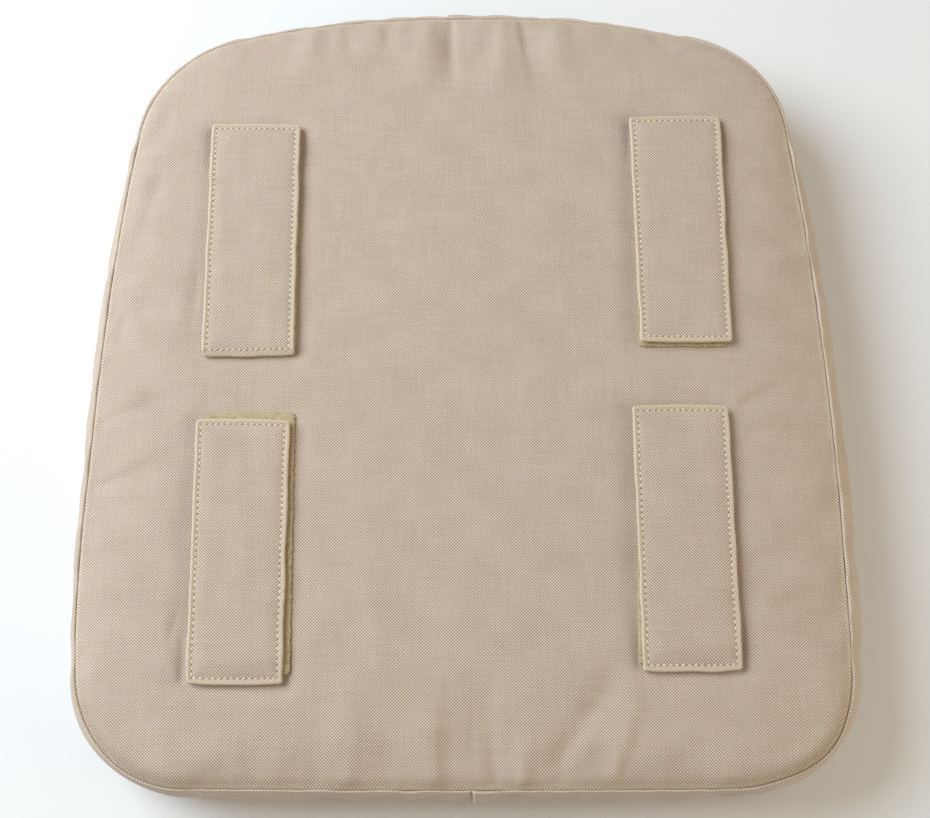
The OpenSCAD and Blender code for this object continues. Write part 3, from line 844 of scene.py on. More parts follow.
# the turned-in edge: distances inside the seam, and the shift outwards and the rise there
LIP_IN = (0, 0.625, 1.25, 1.875, 2.5, 3.5)
LIP_SHIFT = (0.3, -0.47, -0.8, -0.57, -0.1, 0)
LIP_RISE = (-1.6, -0.6, -0.02, 0.1, 0.05, 0)
FOLDS = (
    # start x, y, end x, y, widths to the left and the right of the fold, height
    (-7.5, 242, -6, 190, 2.5, 5.5, -1.4),
    (-22, 234, -25, 182, 8, 10, 1.5),
    (37, 240, 45, 190, 7, 3, -1.6),
    (25, 232, 24, 178, 7, 9, 1.5),
    (60, 226, 66, 176, 12, 10, 1.1),
    (-94, 228, -104, 190, 9, 7, 1.1),
    (-76, 232, -72, 205, 5, 5, -1.0),
    (-50, 232, -48, 208, 5, 5, -0.9),
    (-62, -240, -60, -188, 8, 8, 1.8),
    (-80, -237, -82, -190, 7, 7, -1.2),
    (-15, -240, -16, -185, 10, 6, 2.1),
    (-47, -174, -54, -118, 8, 6, 0.6),
    (18, -240, 12, -190, 6, 6, -1.7),
    (33, -240, 33, -205, 5, 7, 1.7),
    (54, -238, 56, -200, 7, 8, -1.2),
    (58, -222, 93, -172, 8, 7, -2.1),
    (84, -234, 99, -186, 8, 5, 1.7),
    (-153, -160, -154, -208, 5, 5, 1.1),
    (-161, -150, -163, -166, 3, 3, -1.1),
    (-213, -33, -165, -18, 4, 9, -1.1),
    (-211, -72, -160, -53, 4, 9, -1.1),
    (-190, 118, -202, 70, 7, 7, -1.4),
    (-161, 58, -163, 12, 5, 5, -1.0),
    (-206, 30, -205, 10, 5, 5, -1.0),
    (-187, 172, -192, 144, 6, 6, -0.9),
    (167, -24, 196, -8, 5, 8, -1.5),
    (170, -40, 210, -44, 5, 8, -1.0),
    (180, -143, 212, -132, 6, 8, -1.0),
    (163, -118, 211, -105, 6, 9, -0.9),
)
# place along the seam, spread and outward push, because no sewn outline or band is quite even
PUSHES = (
    (640, 30, 3.4), (740, 45, 2.4), (205, 16, 2.2), (168, 14, -1.5), (262, 22, 1.3),
    (540, 40, 0.9), (1115, 50, 1.0), (1280, 25, -0.5), (1340, 40, 0.8), (1390, 25, 0.8),
    (1430, 22, -0.9), (925, 40, 1.1),
)
BAND_PUSHES = (
    (0, 120, -2.1), (165, 30, -2.2), (305, 60, 2.3), (490, 50, 1.3),
    (600, 25, -2.2), (1020, 55, -2.6), (1320, 80, -2.0), (1465, 42, -2.4),
)
print("folds", len(FOLDS), "pushes", len(PUSHES) + len(BAND_PUSHES))

# %% [markdown]
# A fold is a bell-shaped wave along a short line, and a push is one along the seam. Waves add up, so
# folds may cross each other.

# %% Add up folds and pushes
def seam_distance(s, place):
    """How far a place along the seam lies past another one, the shorter way round."""
    return (s - place + AROUND / 2) % AROUND - AROUND / 2


def pushed(s, pushes):
    """How far all pushes together move the seam outwards."""
    total = np.zeros(len(s))
    for place, reach, push in pushes:
        total += push * np.exp(-((seam_distance(s, place) / reach) ** 2) / 2)
    return total


def fold_height(x, y, folds):
    total = np.zeros(len(x))
    for x0, y0, x1, y1, left, right, height in folds:
        run = np.array([x1 - x0, y1 - y0], float)
        length = np.linalg.norm(run)
        along = ((x - x0) * run[0] + (y - y0) * run[1]) / length**2
        off = ((x - x0) * run[1] - (y - y0) * run[0]) / length
        ends = smooth(-0.3, 0.05, along) * (1 - smooth(0.4, 1.2, along))
        wide = np.where(off < 0, left, right) * (0.7 + 0.6 * np.clip(along, 0, 1))
        total += height * ends * bell(off, 0, wide)
    return total


# %% [markdown]
# Both panels are shaped face up. The seat panel is turned over for that, and then back again.

# %% Shape the two panels
def shape_panel(points, folds, uneven, seed):
    """Shapes a panel's points. Returns their flat layout and their places beside the seam."""
    flat = points[:, :2].copy()
    s, inside = seam_place(flat)
    _, out = seam_point(s)
    inset = np.clip(inside, 0, None)
    settled = smooth(2, 22, inset)
    z = points[:, 2]
    z += fold_height(flat[:, 0], flat[:, 1], folds) * smooth(0.5, 5, inset)
    z += 0.22 * ripple(flat[:, 0], flat[:, 1], 70, seed) * settled
    z += 0.10 * ripple(flat[:, 0], flat[:, 1], 24, seed + 1) * settled
    pucker = ripple(s, inset * 0.25, 9, seed + 2) * 0.22 + ripple(s, inset * 0.2, 22, seed + 3) * 0.3
    z += pucker * np.exp(-inset / 7) * smooth(0.8, 3, inset)
    z += np.interp(inset, LIP_IN, LIP_RISE)
    push = uneven * pushed(s, PUSHES) * (1 - smooth(0, 90, inset))
    points[:, :2] += (push - np.interp(inset, LIP_IN, LIP_SHIFT))[:, None] * out
    return flat, np.column_stack([s, inset])


def press_under_straps(points):
    """Keeps the panel below the tapes and the flaps, and draws it down along their sewn ends."""
    half = STRAP_W / 2
    for name in STRAPS:
        x = points[:, 0] - STRAP_X[name]
        y = (points[:, 1] - STRAP_Y[name]) * STRAP_WAY[name]
        past_side, past_end = smooth(half, half + 15, np.abs(x)), smooth(STRAP_L, STRAP_L + 15, y)
        near = 1 - np.clip(past_side + smooth(0, 14, -y) + past_end, 0, 1)
        held = TOTAL_H - CLOTH_GAP - 0.25 * bell(y, 4, 9)
        points[:, 2] += (np.minimum(points[:, 2], held) - points[:, 2]) * near
        rim = bell(np.abs(x), half + 2, 2.8) * smooth(-4, 2, y) * (1 - smooth(8, 42, y))
        end = bell(y, -2, 3) * (1 - smooth(half - 3, half + 3, np.abs(x)))
        points[:, 2] -= 1.1 * rim + 0.5 * end


def shape_underside(points):
    layouts = shape_panel(points, FOLDS, 1, 11)
    press_under_straps(points)
    return layouts


def shape_seat(points):
    points[:, 2] = TOTAL_H - points[:, 2]
    layouts = shape_panel(points, (), 0, 31)
    points[:, 2] = np.maximum(TOTAL_H - points[:, 2], FLOOR_GAP)
    return layouts


def cover(name, mark, node, shape, *options):
    """A cloth of the cover. The function shape moves its points and returns its two UV layouts."""
    piece = cut_piece(name, mark)
    points = read_points(piece)
    weave, seam = shape(points, *options)
    write_points(piece, points)
    add_uv(piece, "weave", weave)
    add_uv(piece, "seam", seam)
    give_thickness(piece, CANVAS_T)
    return finish_piece(piece, COVER_CANVAS, "cushion", [node])


underside = cover("underside_cover", UNDERSIDE, "underside_panel", shape_underside)
seat = cover("seat_cover", SEAT, "seat_panel", shape_seat)
print("panels", len(underside.data.polygons), len(seat.data.polygons))

# %% [markdown]
# ## The side band
# The band is cut on the straight grain, so its weave runs along the seam. Beside each seam it rolls
# up into a narrow light ridge, because the seam allowance lies behind it. At the front joint the
# folded allowance lifts it a little. Along the zip it is drawn in until it lies on the zip's tapes.

# %% Band
# the rolled edge: distances from the seam, and the shift outwards and along the band's height there
ROLL_DOWN = (0, 0.625, 1.25, 1.875, 2.5, 4, 9)
ROLL_OUT = (-0.2, -0.57, -0.75, -0.5, -0.33, -0.2, 0)
ROLL_UP = (-1.6, 0.3, 1.65, 2.4, 2.6, 2.2, 0)
# the bulged band is longer across than it is high, and along the zip it stands out this far
BAND_STRETCH, SLOT_OUT = 1.12, 6.6
# the least that the band stands out beside its seam, so that its turned-in edge stays covered
COVER_DOWN = (0, 1.5, 1.9, 2.5, 6, 9)
COVER_OUT = (-9, -9, 0.45, 0.8, 0.9, 0)


def shape_band(points, seed):
    """Shapes the band's points, and returns the same two layouts as for a panel."""
    s, inside = seam_place(points[:, :2])
    centre, out = seam_point(s)
    stands = -inside
    z = points[:, 2]
    down = (SEAM_Z - z) * BAND_STRETCH
    from_seam = np.minimum(SEAM_Z - z, z - CROWN_H)
    up = np.where(z > MID_Z, 1, -1)
    past_zip = smooth(ZIP_HALF + 0.5, ZIP_HALF + 16, np.abs(centre[:, 0]))
    drawn = (centre[:, 1] > REAR_SIDE_Y) * (1 - past_zip) * smooth(11, 17.5, from_seam)
    stands = stands + (SLOT_OUT - stands) * drawn
    stands += np.interp(from_seam, ROLL_DOWN, ROLL_OUT)
    z = z + np.interp(from_seam, ROLL_DOWN, ROLL_UP) * up
    free = smooth(1.5, 8, from_seam) * (1 - drawn)
    stands += 0.14 * ripple(s, z, 60, seed) * free + 0.06 * ripple(s, z, 18, seed + 1) * free
    stands += pushed(s, PUSHES) * smooth(MID_Z + 6, SEAM_Z, z)
    stands += pushed(s, BAND_PUSHES) * smooth(1, 12, from_seam) * (1 - drawn)
    stands = np.maximum(stands, np.interp(from_seam, COVER_DOWN, COVER_OUT))
    for joint, allowance, way in ((0, 15, 1), (REAR_JOINT_S, 40, -1)):
        past = way * seam_distance(s, joint)
        lifted = smooth(-1, 0.4, past) * (1 - smooth(allowance * 0.4, allowance * 1.4, past))
        stands += 1.3 * lifted * (0.08 + 0.92 * smooth(0.5, 6, from_seam)) * (1 - drawn)
        stands -= 1.1 * bell(past, 0, 0.55) * smooth(0.5, 2, from_seam)
    points[:, :2] = centre + stands[:, None] * out
    points[:, 2] = z
    return np.column_stack([s, down]), np.column_stack([s, -from_seam])


band_right = cover("band_cover_right", BAND_RIGHT, "band_right", shape_band, 51)
band_left = cover("band_cover_left", BAND_LEFT, "band_left", shape_band, 61)
print("bands", len(band_right.data.polygons), len(band_left.data.polygons))

# %% [markdown]
# ## Straps
# A strap is a doubled strip of canvas, turned in at its edges and stitched all round, 3 mm from
# the edge. One end is sewn down and the rest is a flap with hook tape below it. No two straps
# were sewn quite alike, so each has its own lean, taper and curl. The stitch line pulls the cloth
# into a shallow groove.

# %% Strap shape
FLAP_T, FLAP_CROWN = 1.6, 0.5
# the upper face at the sewn end, and how far it climbs over the first millimetres to lie on the tapes
FLAP_Z, FLAP_CLIMB, CLIMB_L = 67.3, 1.55, 14
# ridges and grooves beside the stitch line: height, distance from the flap's edge, and width
HEM = ((-0.28, STITCH_IN, 0.65), (-0.34, STITCH_IN + 0.3, 1.7), (0.26, 0.9, 0.7))
# where each flap's corners lie: left and right at the sewn end, then left and right at the free end
STRAP_CORNERS = each_strap(
    ((-157.2, 159.2), (-101.9, 158.6), (-155.3, 5.2), (-100.5, 6.2)),
    ((104.4, 164.3), (161.4, 165), (106, 14), (160.6, 13.8)),
    ((-153, -187.5), (-99.9, -187.5), (-156, -35.2), (-101.2, -36)),
    ((100.2, -180.3), (155.4, -180), (99.4, -26.8), (155.8, -26.8)),
)
# how far a free end curls up, and how far its hem hangs down past the end of the loop tape
CURL = each_strap(0.3, 0.9, 0.5, 0.2)
HANG = each_strap(2.0, 0, 0, 0)
SEEDS = each_strap(3, 5, 8, 13)


def flap_base(b):
    """Height of the flap's upper face along it, which climbs from the sewn end over the tapes."""
    return FLAP_Z + FLAP_CLIMB * smooth(0, CLIMB_L, b)


def flap_hang(name, b):
    return HANG[name] * smooth(STRAP_L - 3.5, STRAP_L, b)


def flap_height(name, a, b):
    """Height of the flap's upper face, a across from the middle and b along from the sewn end."""
    seed = SEEDS[name]
    edge = np.minimum(STRAP_W / 2 - np.abs(a), np.minimum(b, STRAP_L - b))
    pull = np.sin((a + b + edge) * 2 * math.pi / STITCH_PITCH)
    z = flap_base(b) + sum(height * bell(edge, place, width) for height, place, width in HEM)
    z = z - 0.5 * np.exp(-edge / 0.4) + 0.1 * pull * bell(edge, 2.1, 0.8)
    creases = 0.12 * ripple(a, b, 30, seed) + 0.16 * ripple(a, b * 0.15, 17, seed + 6)
    z = z + 0.35 * smooth(3, 11, edge) + creases * smooth(3, 9, edge)
    z = z + FLAP_CROWN * (1 - (2 * a / STRAP_W) ** 2) * smooth(0, 12, np.minimum(b, STRAP_L - b))
    z = z + CURL[name] * smooth(STRAP_L - 16, STRAP_L, b) * (0.4 + 0.6 * np.cos(2.8 * a / STRAP_W))
    return z - flap_hang(name, b)


def flap_spot(name, a, b):
    """Where a point of the flat strap lies on the cushion."""
    seed = SEEDS[name]
    sewn_left, sewn_right, free_left, free_right = np.array(STRAP_CORNERS[name])
    across, along = a / STRAP_W + 0.5, b / STRAP_L
    sewn = np.outer(1 - across, sewn_left) + np.outer(across, sewn_right)
    free = np.outer(1 - across, free_left) + np.outer(across, free_right)
    spot = sewn * (1 - along)[:, None] + free * along[:, None]
    side = np.clip(2 * across - 1, -1, 1)
    end = np.clip(2 * along - 1, -1, 1)
    at_side, at_end = np.abs(side) ** 8, np.abs(end) ** 16
    waves = 0.3 * ripple(b, side * 40, 30, seed + 2) + 0.1 * ripple(b, side * 40, 6, seed + 3)
    x = spot[:, 0] + at_side * waves
    bow = 0.9 * (1 - side**2) * STRAP_WAY[name] * np.sign(end)
    y = spot[:, 1] + at_end * (bow + 0.25 * ripple(a, end * 30, 20, seed + 4))
    return x, y


# %% [markdown]
# Flaps and tapes all begin as a flat grid, with its lines closer together near the edges. It gets
# rounded corners, a wall and a bevelled rim.

# %% Strips of cloth
def lines(length, count, fine=8, step=0.55):
    """Places of grid lines across a strip, closer together near both edges."""
    inner = (length - 2 * fine * step) / (count - 2 * fine)
    return np.cumsum([0] + [step] * fine + [inner] * (count - 2 * fine) + [step] * fine)


def strap_strip(piece_name, width, start, end, counts):
    """A flat grid in the strap's own measures, from start to end along it."""
    bpy.ops.object.select_all(action="DESELECT")
    bpy.ops.mesh.primitive_grid_add(x_subdivisions=counts[0], y_subdivisions=counts[1], size=1)
    piece = bpy.context.object
    piece.name = piece.data.name = piece_name
    place = read_points(piece) * MM
    across = np.rint((place[:, 0] + 0.5) * counts[0]).astype(int)
    along = np.rint((place[:, 1] + 0.5) * counts[1]).astype(int)
    a = lines(width, counts[0])[across] - width / 2
    b = start + lines(end - start, counts[1])[along]
    piece.data.uv_layers.remove(piece.data.uv_layers[0])
    return piece, a, b


def round_corners(a, b, half, length, radius):
    """Pulls a strip's corners in to a radius."""
    inner_a = np.clip(a, -(half - radius), half - radius)
    inner_b = np.clip(b, radius, length - radius)
    off = np.hypot(a - inner_a, b - inner_b)
    reach = np.maximum(np.abs(a - inner_a), np.abs(b - inner_b))
    scale = np.where(off > 1e-6, reach / np.maximum(off, 1e-6), 1)
    return inner_a + (a - inner_a) * scale, inner_b + (b - inner_b) * scale


def stitch_phase(a, b):
    """Stitches counted along the nearest side, and the distance from the flap's edge."""
    half, length = STRAP_W / 2 - STITCH_IN, STRAP_L - 2 * STITCH_IN
    from_side, from_end = STRAP_W / 2 - np.abs(a), np.minimum(b, STRAP_L - b)
    over_end = (a + half) / (2 * half) * round(2 * half / STITCH_PITCH)
    over_side = (b - STITCH_IN) / length * round(length / STITCH_PITCH)
    stitch = np.where(from_side < from_end, over_side, over_end)
    return np.column_stack([stitch, np.minimum(from_side, from_end)])


def lay_strip(piece, name, points):
    """Puts a strip in its place, with its faces up."""
    write_points(piece, points)
    if STRAP_WAY[name] < 0:
        piece.data.flip_normals()


def bevel_rim(piece, width):
    """Rounds a piece's sharp edges."""
    sharp = {"limit_method": "ANGLE", "angle_limit": math.radians(50)}
    apply_modifier(piece, "BEVEL", width=width * MM, segments=3, **sharp)
    piece.data.shade_smooth()


# %% [markdown]
# A flap is one strip with two faces. The lower face is level, and it comes down to the panel at the
# sewn end.

# %% Flaps
def flap(name):
    piece, a, b = strap_strip("flap_" + name, STRAP_W, 0, STRAP_L, (60, 200))
    top = flap_height(name, a, b)
    low = flap_base(b) - FLAP_T - flap_hang(name, b)
    low = low + (TOTAL_H + CLOTH_GAP - low) * (1 - smooth(1.5, 4, b))
    phases = stitch_phase(a, b)
    a, b = round_corners(a, b, STRAP_W / 2, STRAP_L, 1.6)
    x, y = flap_spot(name, a, b)
    lay_strip(piece, name, np.column_stack([x, y, top]))
    add_uv(piece, "weave", np.column_stack([a + 0.06 * b, b]))
    add_uv(piece, "hem", phases)
    give_thickness(piece, FLAP_T)
    points = read_points(piece)
    points[len(a):] = np.column_stack([x, y, low])
    write_points(piece, points)
    bevel_rim(piece, 0.45)
    nodes = ["strap_flap_" + name, "strap_anchor_" + name]
    return finish_piece(piece, STRAP_CANVAS, None, nodes)


flaps = {name: flap(name) for name in STRAPS}
print("flaps", [len(piece.data.polygons) for piece in flaps.values()])

# %% [markdown]
# ## Stitches
# A lockstitch shows a short rise of thread, then a needle hole where it dives. One stitch is a small
# ball, drawn out and flattened, whose ends carry painted shade where they enter the hole. It is copied
# along the strap's stitch line.

# %% One stitch and its copies
STITCH_SLANT = 0.25
STITCH_SIZE = np.array([0.95, 0.44, 0.40])
UP = np.array([0.0, 0.0, 1.0])


def take_model(piece, scale=1):
    """An object's points and faces, to be copied by repeat. The object itself is removed."""
    points = read_points(piece) * scale
    faces = [list(face.vertices) for face in piece.data.polygons]
    bpy.data.objects.remove(piece)
    return points, faces


def stitch_model():
    bpy.ops.object.select_all(action="DESELECT")
    bpy.ops.mesh.primitive_uv_sphere_add(segments=8, ring_count=7, radius=1)
    ball = bpy.context.object
    ball.rotation_euler = (0, math.pi / 2, 0)
    bpy.ops.object.transform_apply(location=False, rotation=True)
    return take_model(ball, MM * STITCH_SIZE)


def repeat(piece_name, model, places, alongs, ups, seed, turn_by=0.0, grow_by=0.0):
    """One object with a copy of the model at every place. Its X axis points along, its Z axis up."""
    rng = np.random.default_rng(seed)
    points, faces = model
    copies = []
    for place, along, up in zip(places, alongs, ups):
        side = np.cross(up, along)
        turn = rng.normal(0, turn_by)
        x, y, z = (points * rng.uniform(1 - grow_by, 1 + grow_by)).T[:, :, None]
        ahead = x * math.cos(turn) - y * math.sin(turn)
        aside = x * math.sin(turn) + y * math.cos(turn)
        copies.append(place + ahead * along + aside * side + z * up)
    n = len(points)
    all_faces = [[k * n + v for v in face] for k in range(len(copies)) for face in faces]
    piece = mesh_object(piece_name, np.vstack(copies), all_faces)
    add_uv(piece, "weave", np.tile(points[:, :2], (len(copies), 1)))
    piece.data.shade_smooth()
    return piece
STITCH = stitch_model()
print("one stitch", len(STITCH[1]), "faces")

# %% [markdown]
# The stitches follow the strap's four sides, 3 mm inside its edge. No two lie quite alike on the
# real strap, so each is turned, shifted and resized a little.

# %% Stitches of the straps
def stitch_ends(corners):
    """Where the stitches begin and end along the straight lines from corner to corner."""
    ends = []
    for first, last in zip(corners, corners[1:]):
        first, run = np.array(first), np.subtract(last, first)
        count = round(math.hypot(*run) / STITCH_PITCH)
        ends += [[first + run * (k + share) / count for share in (0.3, 0.7)] for k in range(count)]
    return np.array(ends)


def strap_stitches(name):
    side, near, far = STRAP_W / 2 - STITCH_IN, STITCH_IN, STRAP_L - STITCH_IN
    ends = stitch_ends([(-side, near), (side, near), (side, far), (-side, far), (-side, near)])
    a, b = ends.mean(1).T
    run_a, run_b = (ends[:, 1] - ends[:, 0]).T
    turn = np.arctan2(run_b, run_a)
    step_a, step_b = 0.5 * np.cos(turn), 0.5 * np.sin(turn)
    climb = flap_height(name, a + step_a, b + step_b) - flap_height(name, a - step_a, b - step_b)
    heading_a = np.arctan2(STRAP_WAY[name] * np.sin(turn), np.cos(turn)) + STITCH_SLANT
    alongs = np.column_stack([np.cos(heading_a), np.sin(heading_a), climb])
    shaken = np.random.default_rng(SEEDS[name] + 90).normal(0, 0.12, (2, len(a)))
    x, y = flap_spot(name, a + shaken[0], b + shaken[1])
    places = np.column_stack([x, y, flap_height(name, a, b) + 0.12])
    piece = repeat("stitches_" + name, STITCH, places, alongs, [UP] * len(a), SEEDS[name], 0.14, 0.16)
    return finish_piece(piece, THREAD, None, ["flap_stitching_" + name])


stitchings = {name: strap_stitches(name) for name in STRAPS}
print("stitches", [len(piece.data.polygons) for piece in stitchings.values()])

# %% [markdown]
# The flap lifts at its fold, while its sewn end stays on the cushion. The ends of each fold are worked
# out here, and each flap and its stitches have their placing baked into their points.

# %% The flaps at their folds
FOLD_START, FOLD_END, FOLD_Z = 3.0, 10.0, 65.7
for name in STRAPS:
    fold_y = [STRAP_Y[name] + STRAP_WAY[name] * b for b in (FOLD_START, FOLD_END)]
    ends = [(STRAP_X[name] * MM, y * MM, FOLD_Z * MM) for y in fold_y]
    for piece in (flaps[name], stitchings[name]):
        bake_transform(piece)
print("blended pieces", 2 * len(STRAPS))

# %% [markdown]
# ## Hook and loop tape
# Hook tape below each flap grips loop tape on the panel. A hook and a loop are both a bent yarn: a
# square spun round part of a circle.

# %% A bent yarn
def bent_yarn(thickness, radius, degrees):
    """A yarn from the origin round a circle in the XZ plane, as points and faces."""
    turn, middle = math.radians(degrees), (radius * MM, 0, 0)
    bpy.ops.object.select_all(action="DESELECT")
    bpy.ops.mesh.primitive_circle_add(vertices=4, radius=thickness / 2 * MM, fill_type="NGON")
    yarn = bpy.context.object
    bpy.ops.object.mode_set(mode="EDIT")
    bpy.ops.mesh.select_all(action="SELECT")
    bpy.ops.mesh.spin(steps=5, angle=turn, center=middle, axis=(0, 1, 0))
    bpy.ops.mesh.select_all(action="SELECT")
    bpy.ops.mesh.remove_doubles(threshold=0.00001)
    bpy.ops.mesh.normals_make_consistent(inside=False)
    bpy.ops.object.mode_set(mode="OBJECT")
    return take_model(yarn)


HOOK = bent_yarn(0.32, 0.42, -150)
PILE_LOOP = bent_yarn(0.14, 0.5, 180)
print("hook", len(HOOK[1]), "faces, pile loop", len(PILE_LOOP[1]))

# %% [markdown]
# The loop tape is sewn to the panel and peeps out beside the flaps. It is a woven ground with a
# soft pile of tiny loops, which flattens and frays at the edges.

# %% Loop tapes
PILE_W, PILE_Z, PILE_T = 52.5, 65.9, 1.6
# the loose loops: how many, how far inside the edge, how high, and their shares on the four sides
FRAY_COUNT, FRAY_W, FRAY_Z = 520, 1.6, 65.1
FRAY_SHARES = (0.36, 0.36, 0.14, 0.14)
# shift from the flap's middle at the sewn and the free end, and where the tape starts and ends
LOOP_TAPES = each_strap(
    (1.0, 2.1, 9, 149.5), (-1.0, -2.0, 9, 153), (4.2, 3.6, 5, 157.2), (-3.9, 1.0, 3.5, 149.5)
)


def tape_spot(name, a, b):
    """Where a point of the loop tape lies on the cushion."""
    sewn_shift, free_shift, _, _ = LOOP_TAPES[name]
    corners = np.array(STRAP_CORNERS[name])
    share = b / STRAP_L
    sewn, free = corners[:2, 0].mean() + sewn_shift, corners[2:, 0].mean() + free_shift
    return sewn * (1 - share) + free * share + a, corners[:2, 1].mean() + STRAP_WAY[name] * b


def loop_tape(name):
    _, _, start, end = LOOP_TAPES[name]
    piece, a, b = strap_strip("loop_tape_cover_" + name, PILE_W, start, end, (64, 170))
    rng = np.random.default_rng(SEEDS[name] + 40)
    edge = np.minimum(PILE_W / 2 - np.abs(a), np.minimum(b - start, end - b))
    z = PILE_Z - 0.6 * np.exp(-edge / 0.8) - np.abs(rng.normal(0, 0.16, len(a)))
    z += 0.12 * ripple(a, b, 3, SEEDS[name] + 41)
    a, along = round_corners(a, b - start, PILE_W / 2, end - start, 2.5)
    fray = np.exp(-edge / 0.4)
    a = a + rng.normal(0, 0.26, len(a)) * fray
    b = along + start + rng.normal(0, 0.26, len(a)) * fray
    lay_strip(piece, name, np.column_stack([*tape_spot(name, a, b), z]))
    give_thickness(piece, PILE_T)
    bevel_rim(piece, 0.3)
    return finish_piece(piece, PILE, "cushion", ["loop_tape_" + name])


def unit(vectors):
    return vectors / np.linalg.norm(vectors, axis=-1, keepdims=True)


def frayed_edge(name):
    """Loops of the pile that stand loose along the tape's four edges."""
    _, _, start, end = LOOP_TAPES[name]
    count, half = FRAY_COUNT, PILE_W / 2
    rng = np.random.default_rng(SEEDS[name] + 44)
    share, inset = rng.uniform(0, 1, count), rng.uniform(0, FRAY_W, count)
    side = rng.choice(4, count, p=FRAY_SHARES)
    any_a, any_b = (2 * share - 1) * (half - 1.5), start + 1.5 + share * (end - start - 3)
    a = np.select([side == 0, side == 1], [inset - half, half - inset], any_a)
    b = np.select([side == 2, side == 3], [start + inset, end - inset], any_b)
    outward = np.array([(-1, 0), (1, 0), (0, -STRAP_WAY[name]), (0, STRAP_WAY[name])])[side]
    ups = np.column_stack([outward * rng.uniform(0.2, 1, (count, 1)), rng.uniform(0.4, 1, count)])
    ups = unit(ups + rng.normal(0, 0.2, (count, 3)))
    alongs = unit(np.cross(ups, rng.normal(0, 1, (count, 3))))
    places = np.column_stack([*tape_spot(name, a, b), FRAY_Z + 0.3 * inset])
    piece = repeat("pile_edge_" + name, PILE_LOOP, places, alongs, ups, SEEDS[name] + 45, 0, 0.4)
    return finish_piece(piece, PILE, "cushion")


for name in STRAPS:
    loop_tape(name)
    frayed_edge(name)
print("loose loops on each tape", FRAY_COUNT)

# %% [markdown]
# The hook tape is a thin firm backing below the flap. The rows of small hooks on its underside
# point down into the pile.

# %% Hook tapes
TAPE_W, TAPE_GAP, BACKING_T, HOOK_PITCH = 50, 0.08, 0.45, 1.9
HOOK_START, HOOK_END = 18.0, STRAP_L - 3


def hook_tape(name):
    counts = (40, 90)
    piece, a, b = strap_strip("hook_tape_cover_" + name, TAPE_W, HOOK_START, HOOK_END, counts)
    seed = SEEDS[name] + 60
    z = flap_base(b) - FLAP_T - TAPE_GAP + 0.03 * ripple(a, b, 8, seed)
    lay_strip(piece, name, np.column_stack([*flap_spot(name, a, b), z]))
    give_thickness(piece, BACKING_T)
    bevel_rim(piece, 0.12)
    hook_a = np.arange(-23.5, 24, HOOK_PITCH)
    hook_b = np.arange(HOOK_START + 2, HOOK_END - 1.5, HOOK_PITCH)
    a, b = np.repeat(hook_a, len(hook_b)), np.tile(hook_b, len(hook_a))
    places = np.column_stack([*flap_spot(name, a, b), flap_base(b) - FLAP_T - BACKING_T])
    alongs = np.resize([[1.0, 0, 0], [-1.0, 0, 0]], (len(a), 3))
    hooks = repeat("hooks_" + name, HOOK, places, alongs, [UP] * len(a), seed, 0.25, 0.1)
    finish_piece(hooks, HOOKS, "strap_" + name)
    return finish_piece(piece, HOOKS, "strap_" + name, ["hook_tape_" + name])


hook_tapes = [hook_tape(name) for name in STRAPS]
print("hook tapes", [len(piece.data.polygons) for piece in hook_tapes])

# %% [markdown]
# ## Filling
# The foam block and its fibre wrap stay inside the closed cover. Each is a copy of its solid,
# merged and subdivided, with the small unevenness of cut foam and teased fibre. The wrap is pressed
# flatter than its solid, so that it stays below the cover's tucks.

# %% Foam and fibre
# how many times more the wrap is pressed in its height than across
PRESSED = 8


def copy_solid(node, name):
    """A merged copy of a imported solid, free to be shaped."""
    select_only(frame["nodes"][node])
    bpy.ops.object.duplicate()
    piece = bpy.context.object
    piece.name = piece.data.name = name
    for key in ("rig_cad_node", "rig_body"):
        if key in piece:
            del piece[key]
    piece.parent = None
    bpy.ops.object.mode_set(mode="EDIT")
    bpy.ops.mesh.select_all(action="SELECT")
    bpy.ops.mesh.remove_doubles(threshold=0.00001)
    bpy.ops.object.mode_set(mode="OBJECT")
    return piece


def filling(node, name, material, uneven, loose, seed):
    """A filling smaller than its solid by the share loose, and by up to uneven more in places."""
    piece = copy_solid(node, name)
    bpy.ops.object.mode_set(mode="EDIT")
    bpy.ops.mesh.subdivide(number_cuts=1)
    bpy.ops.object.mode_set(mode="OBJECT")
    points = read_points(piece)
    uneven_at = ripple(points[:, 0], points[:, 1], 30, seed)[:, None]
    points[:, :2] *= 1 - loose - uneven * (1 + uneven_at) / 2
    points[:, 2] = MID_Z + (points[:, 2] - MID_Z) * (1 - PRESSED * loose)
    write_points(piece, points)
    return finish_piece(piece, material, "cushion", [node])


filling("foam_core", "foam_block", FOAM, 0.001, 0.0, 71)
filling("wadding_seat_side", "fibre_wrap_seat", FIBRE, 0.0015, 0.016, 73)
filling("wadding_underside", "fibre_wrap_underside", FIBRE, 0.0015, 0.016, 75)
print("foam and two halves of the fibre wrap made")

# %% [markdown]
# ## Zip
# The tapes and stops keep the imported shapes, which are right, and get their own finishes. The slider
# and the pull are copies of their solids with their edges rounded, as die-cast metal has them.

# %% Zip tapes, stops, slider and pull
PACKED_LOOKS = {"zip_tape_upper": ZIP_CLOTH, "zip_tape_lower": ZIP_CLOTH, "zip_stops": ZIP_PLASTIC}
for node, material in PACKED_LOOKS.items():
    mesh = frame["nodes"][node].data
    mesh.materials.clear()
    mesh.materials.append(material)


def cast_piece(node, name, body):
    piece = copy_solid(node, name)
    bevel_rim(piece, 0.16)
    bpy.ops.object.shade_smooth_by_angle(angle=math.radians(20))
    return finish_piece(piece, ZIP_METAL, body, [node])


cast_piece("zip_slider", "slider_cast", "slider")
cast_piece("zip_pull", "pull_cast", "pull")
print("slider and pull cast")

# %% [markdown]
# One moulded tooth, bevelled from a small block, is copied along both edges of the slit. The two
# rows are half a tooth apart.

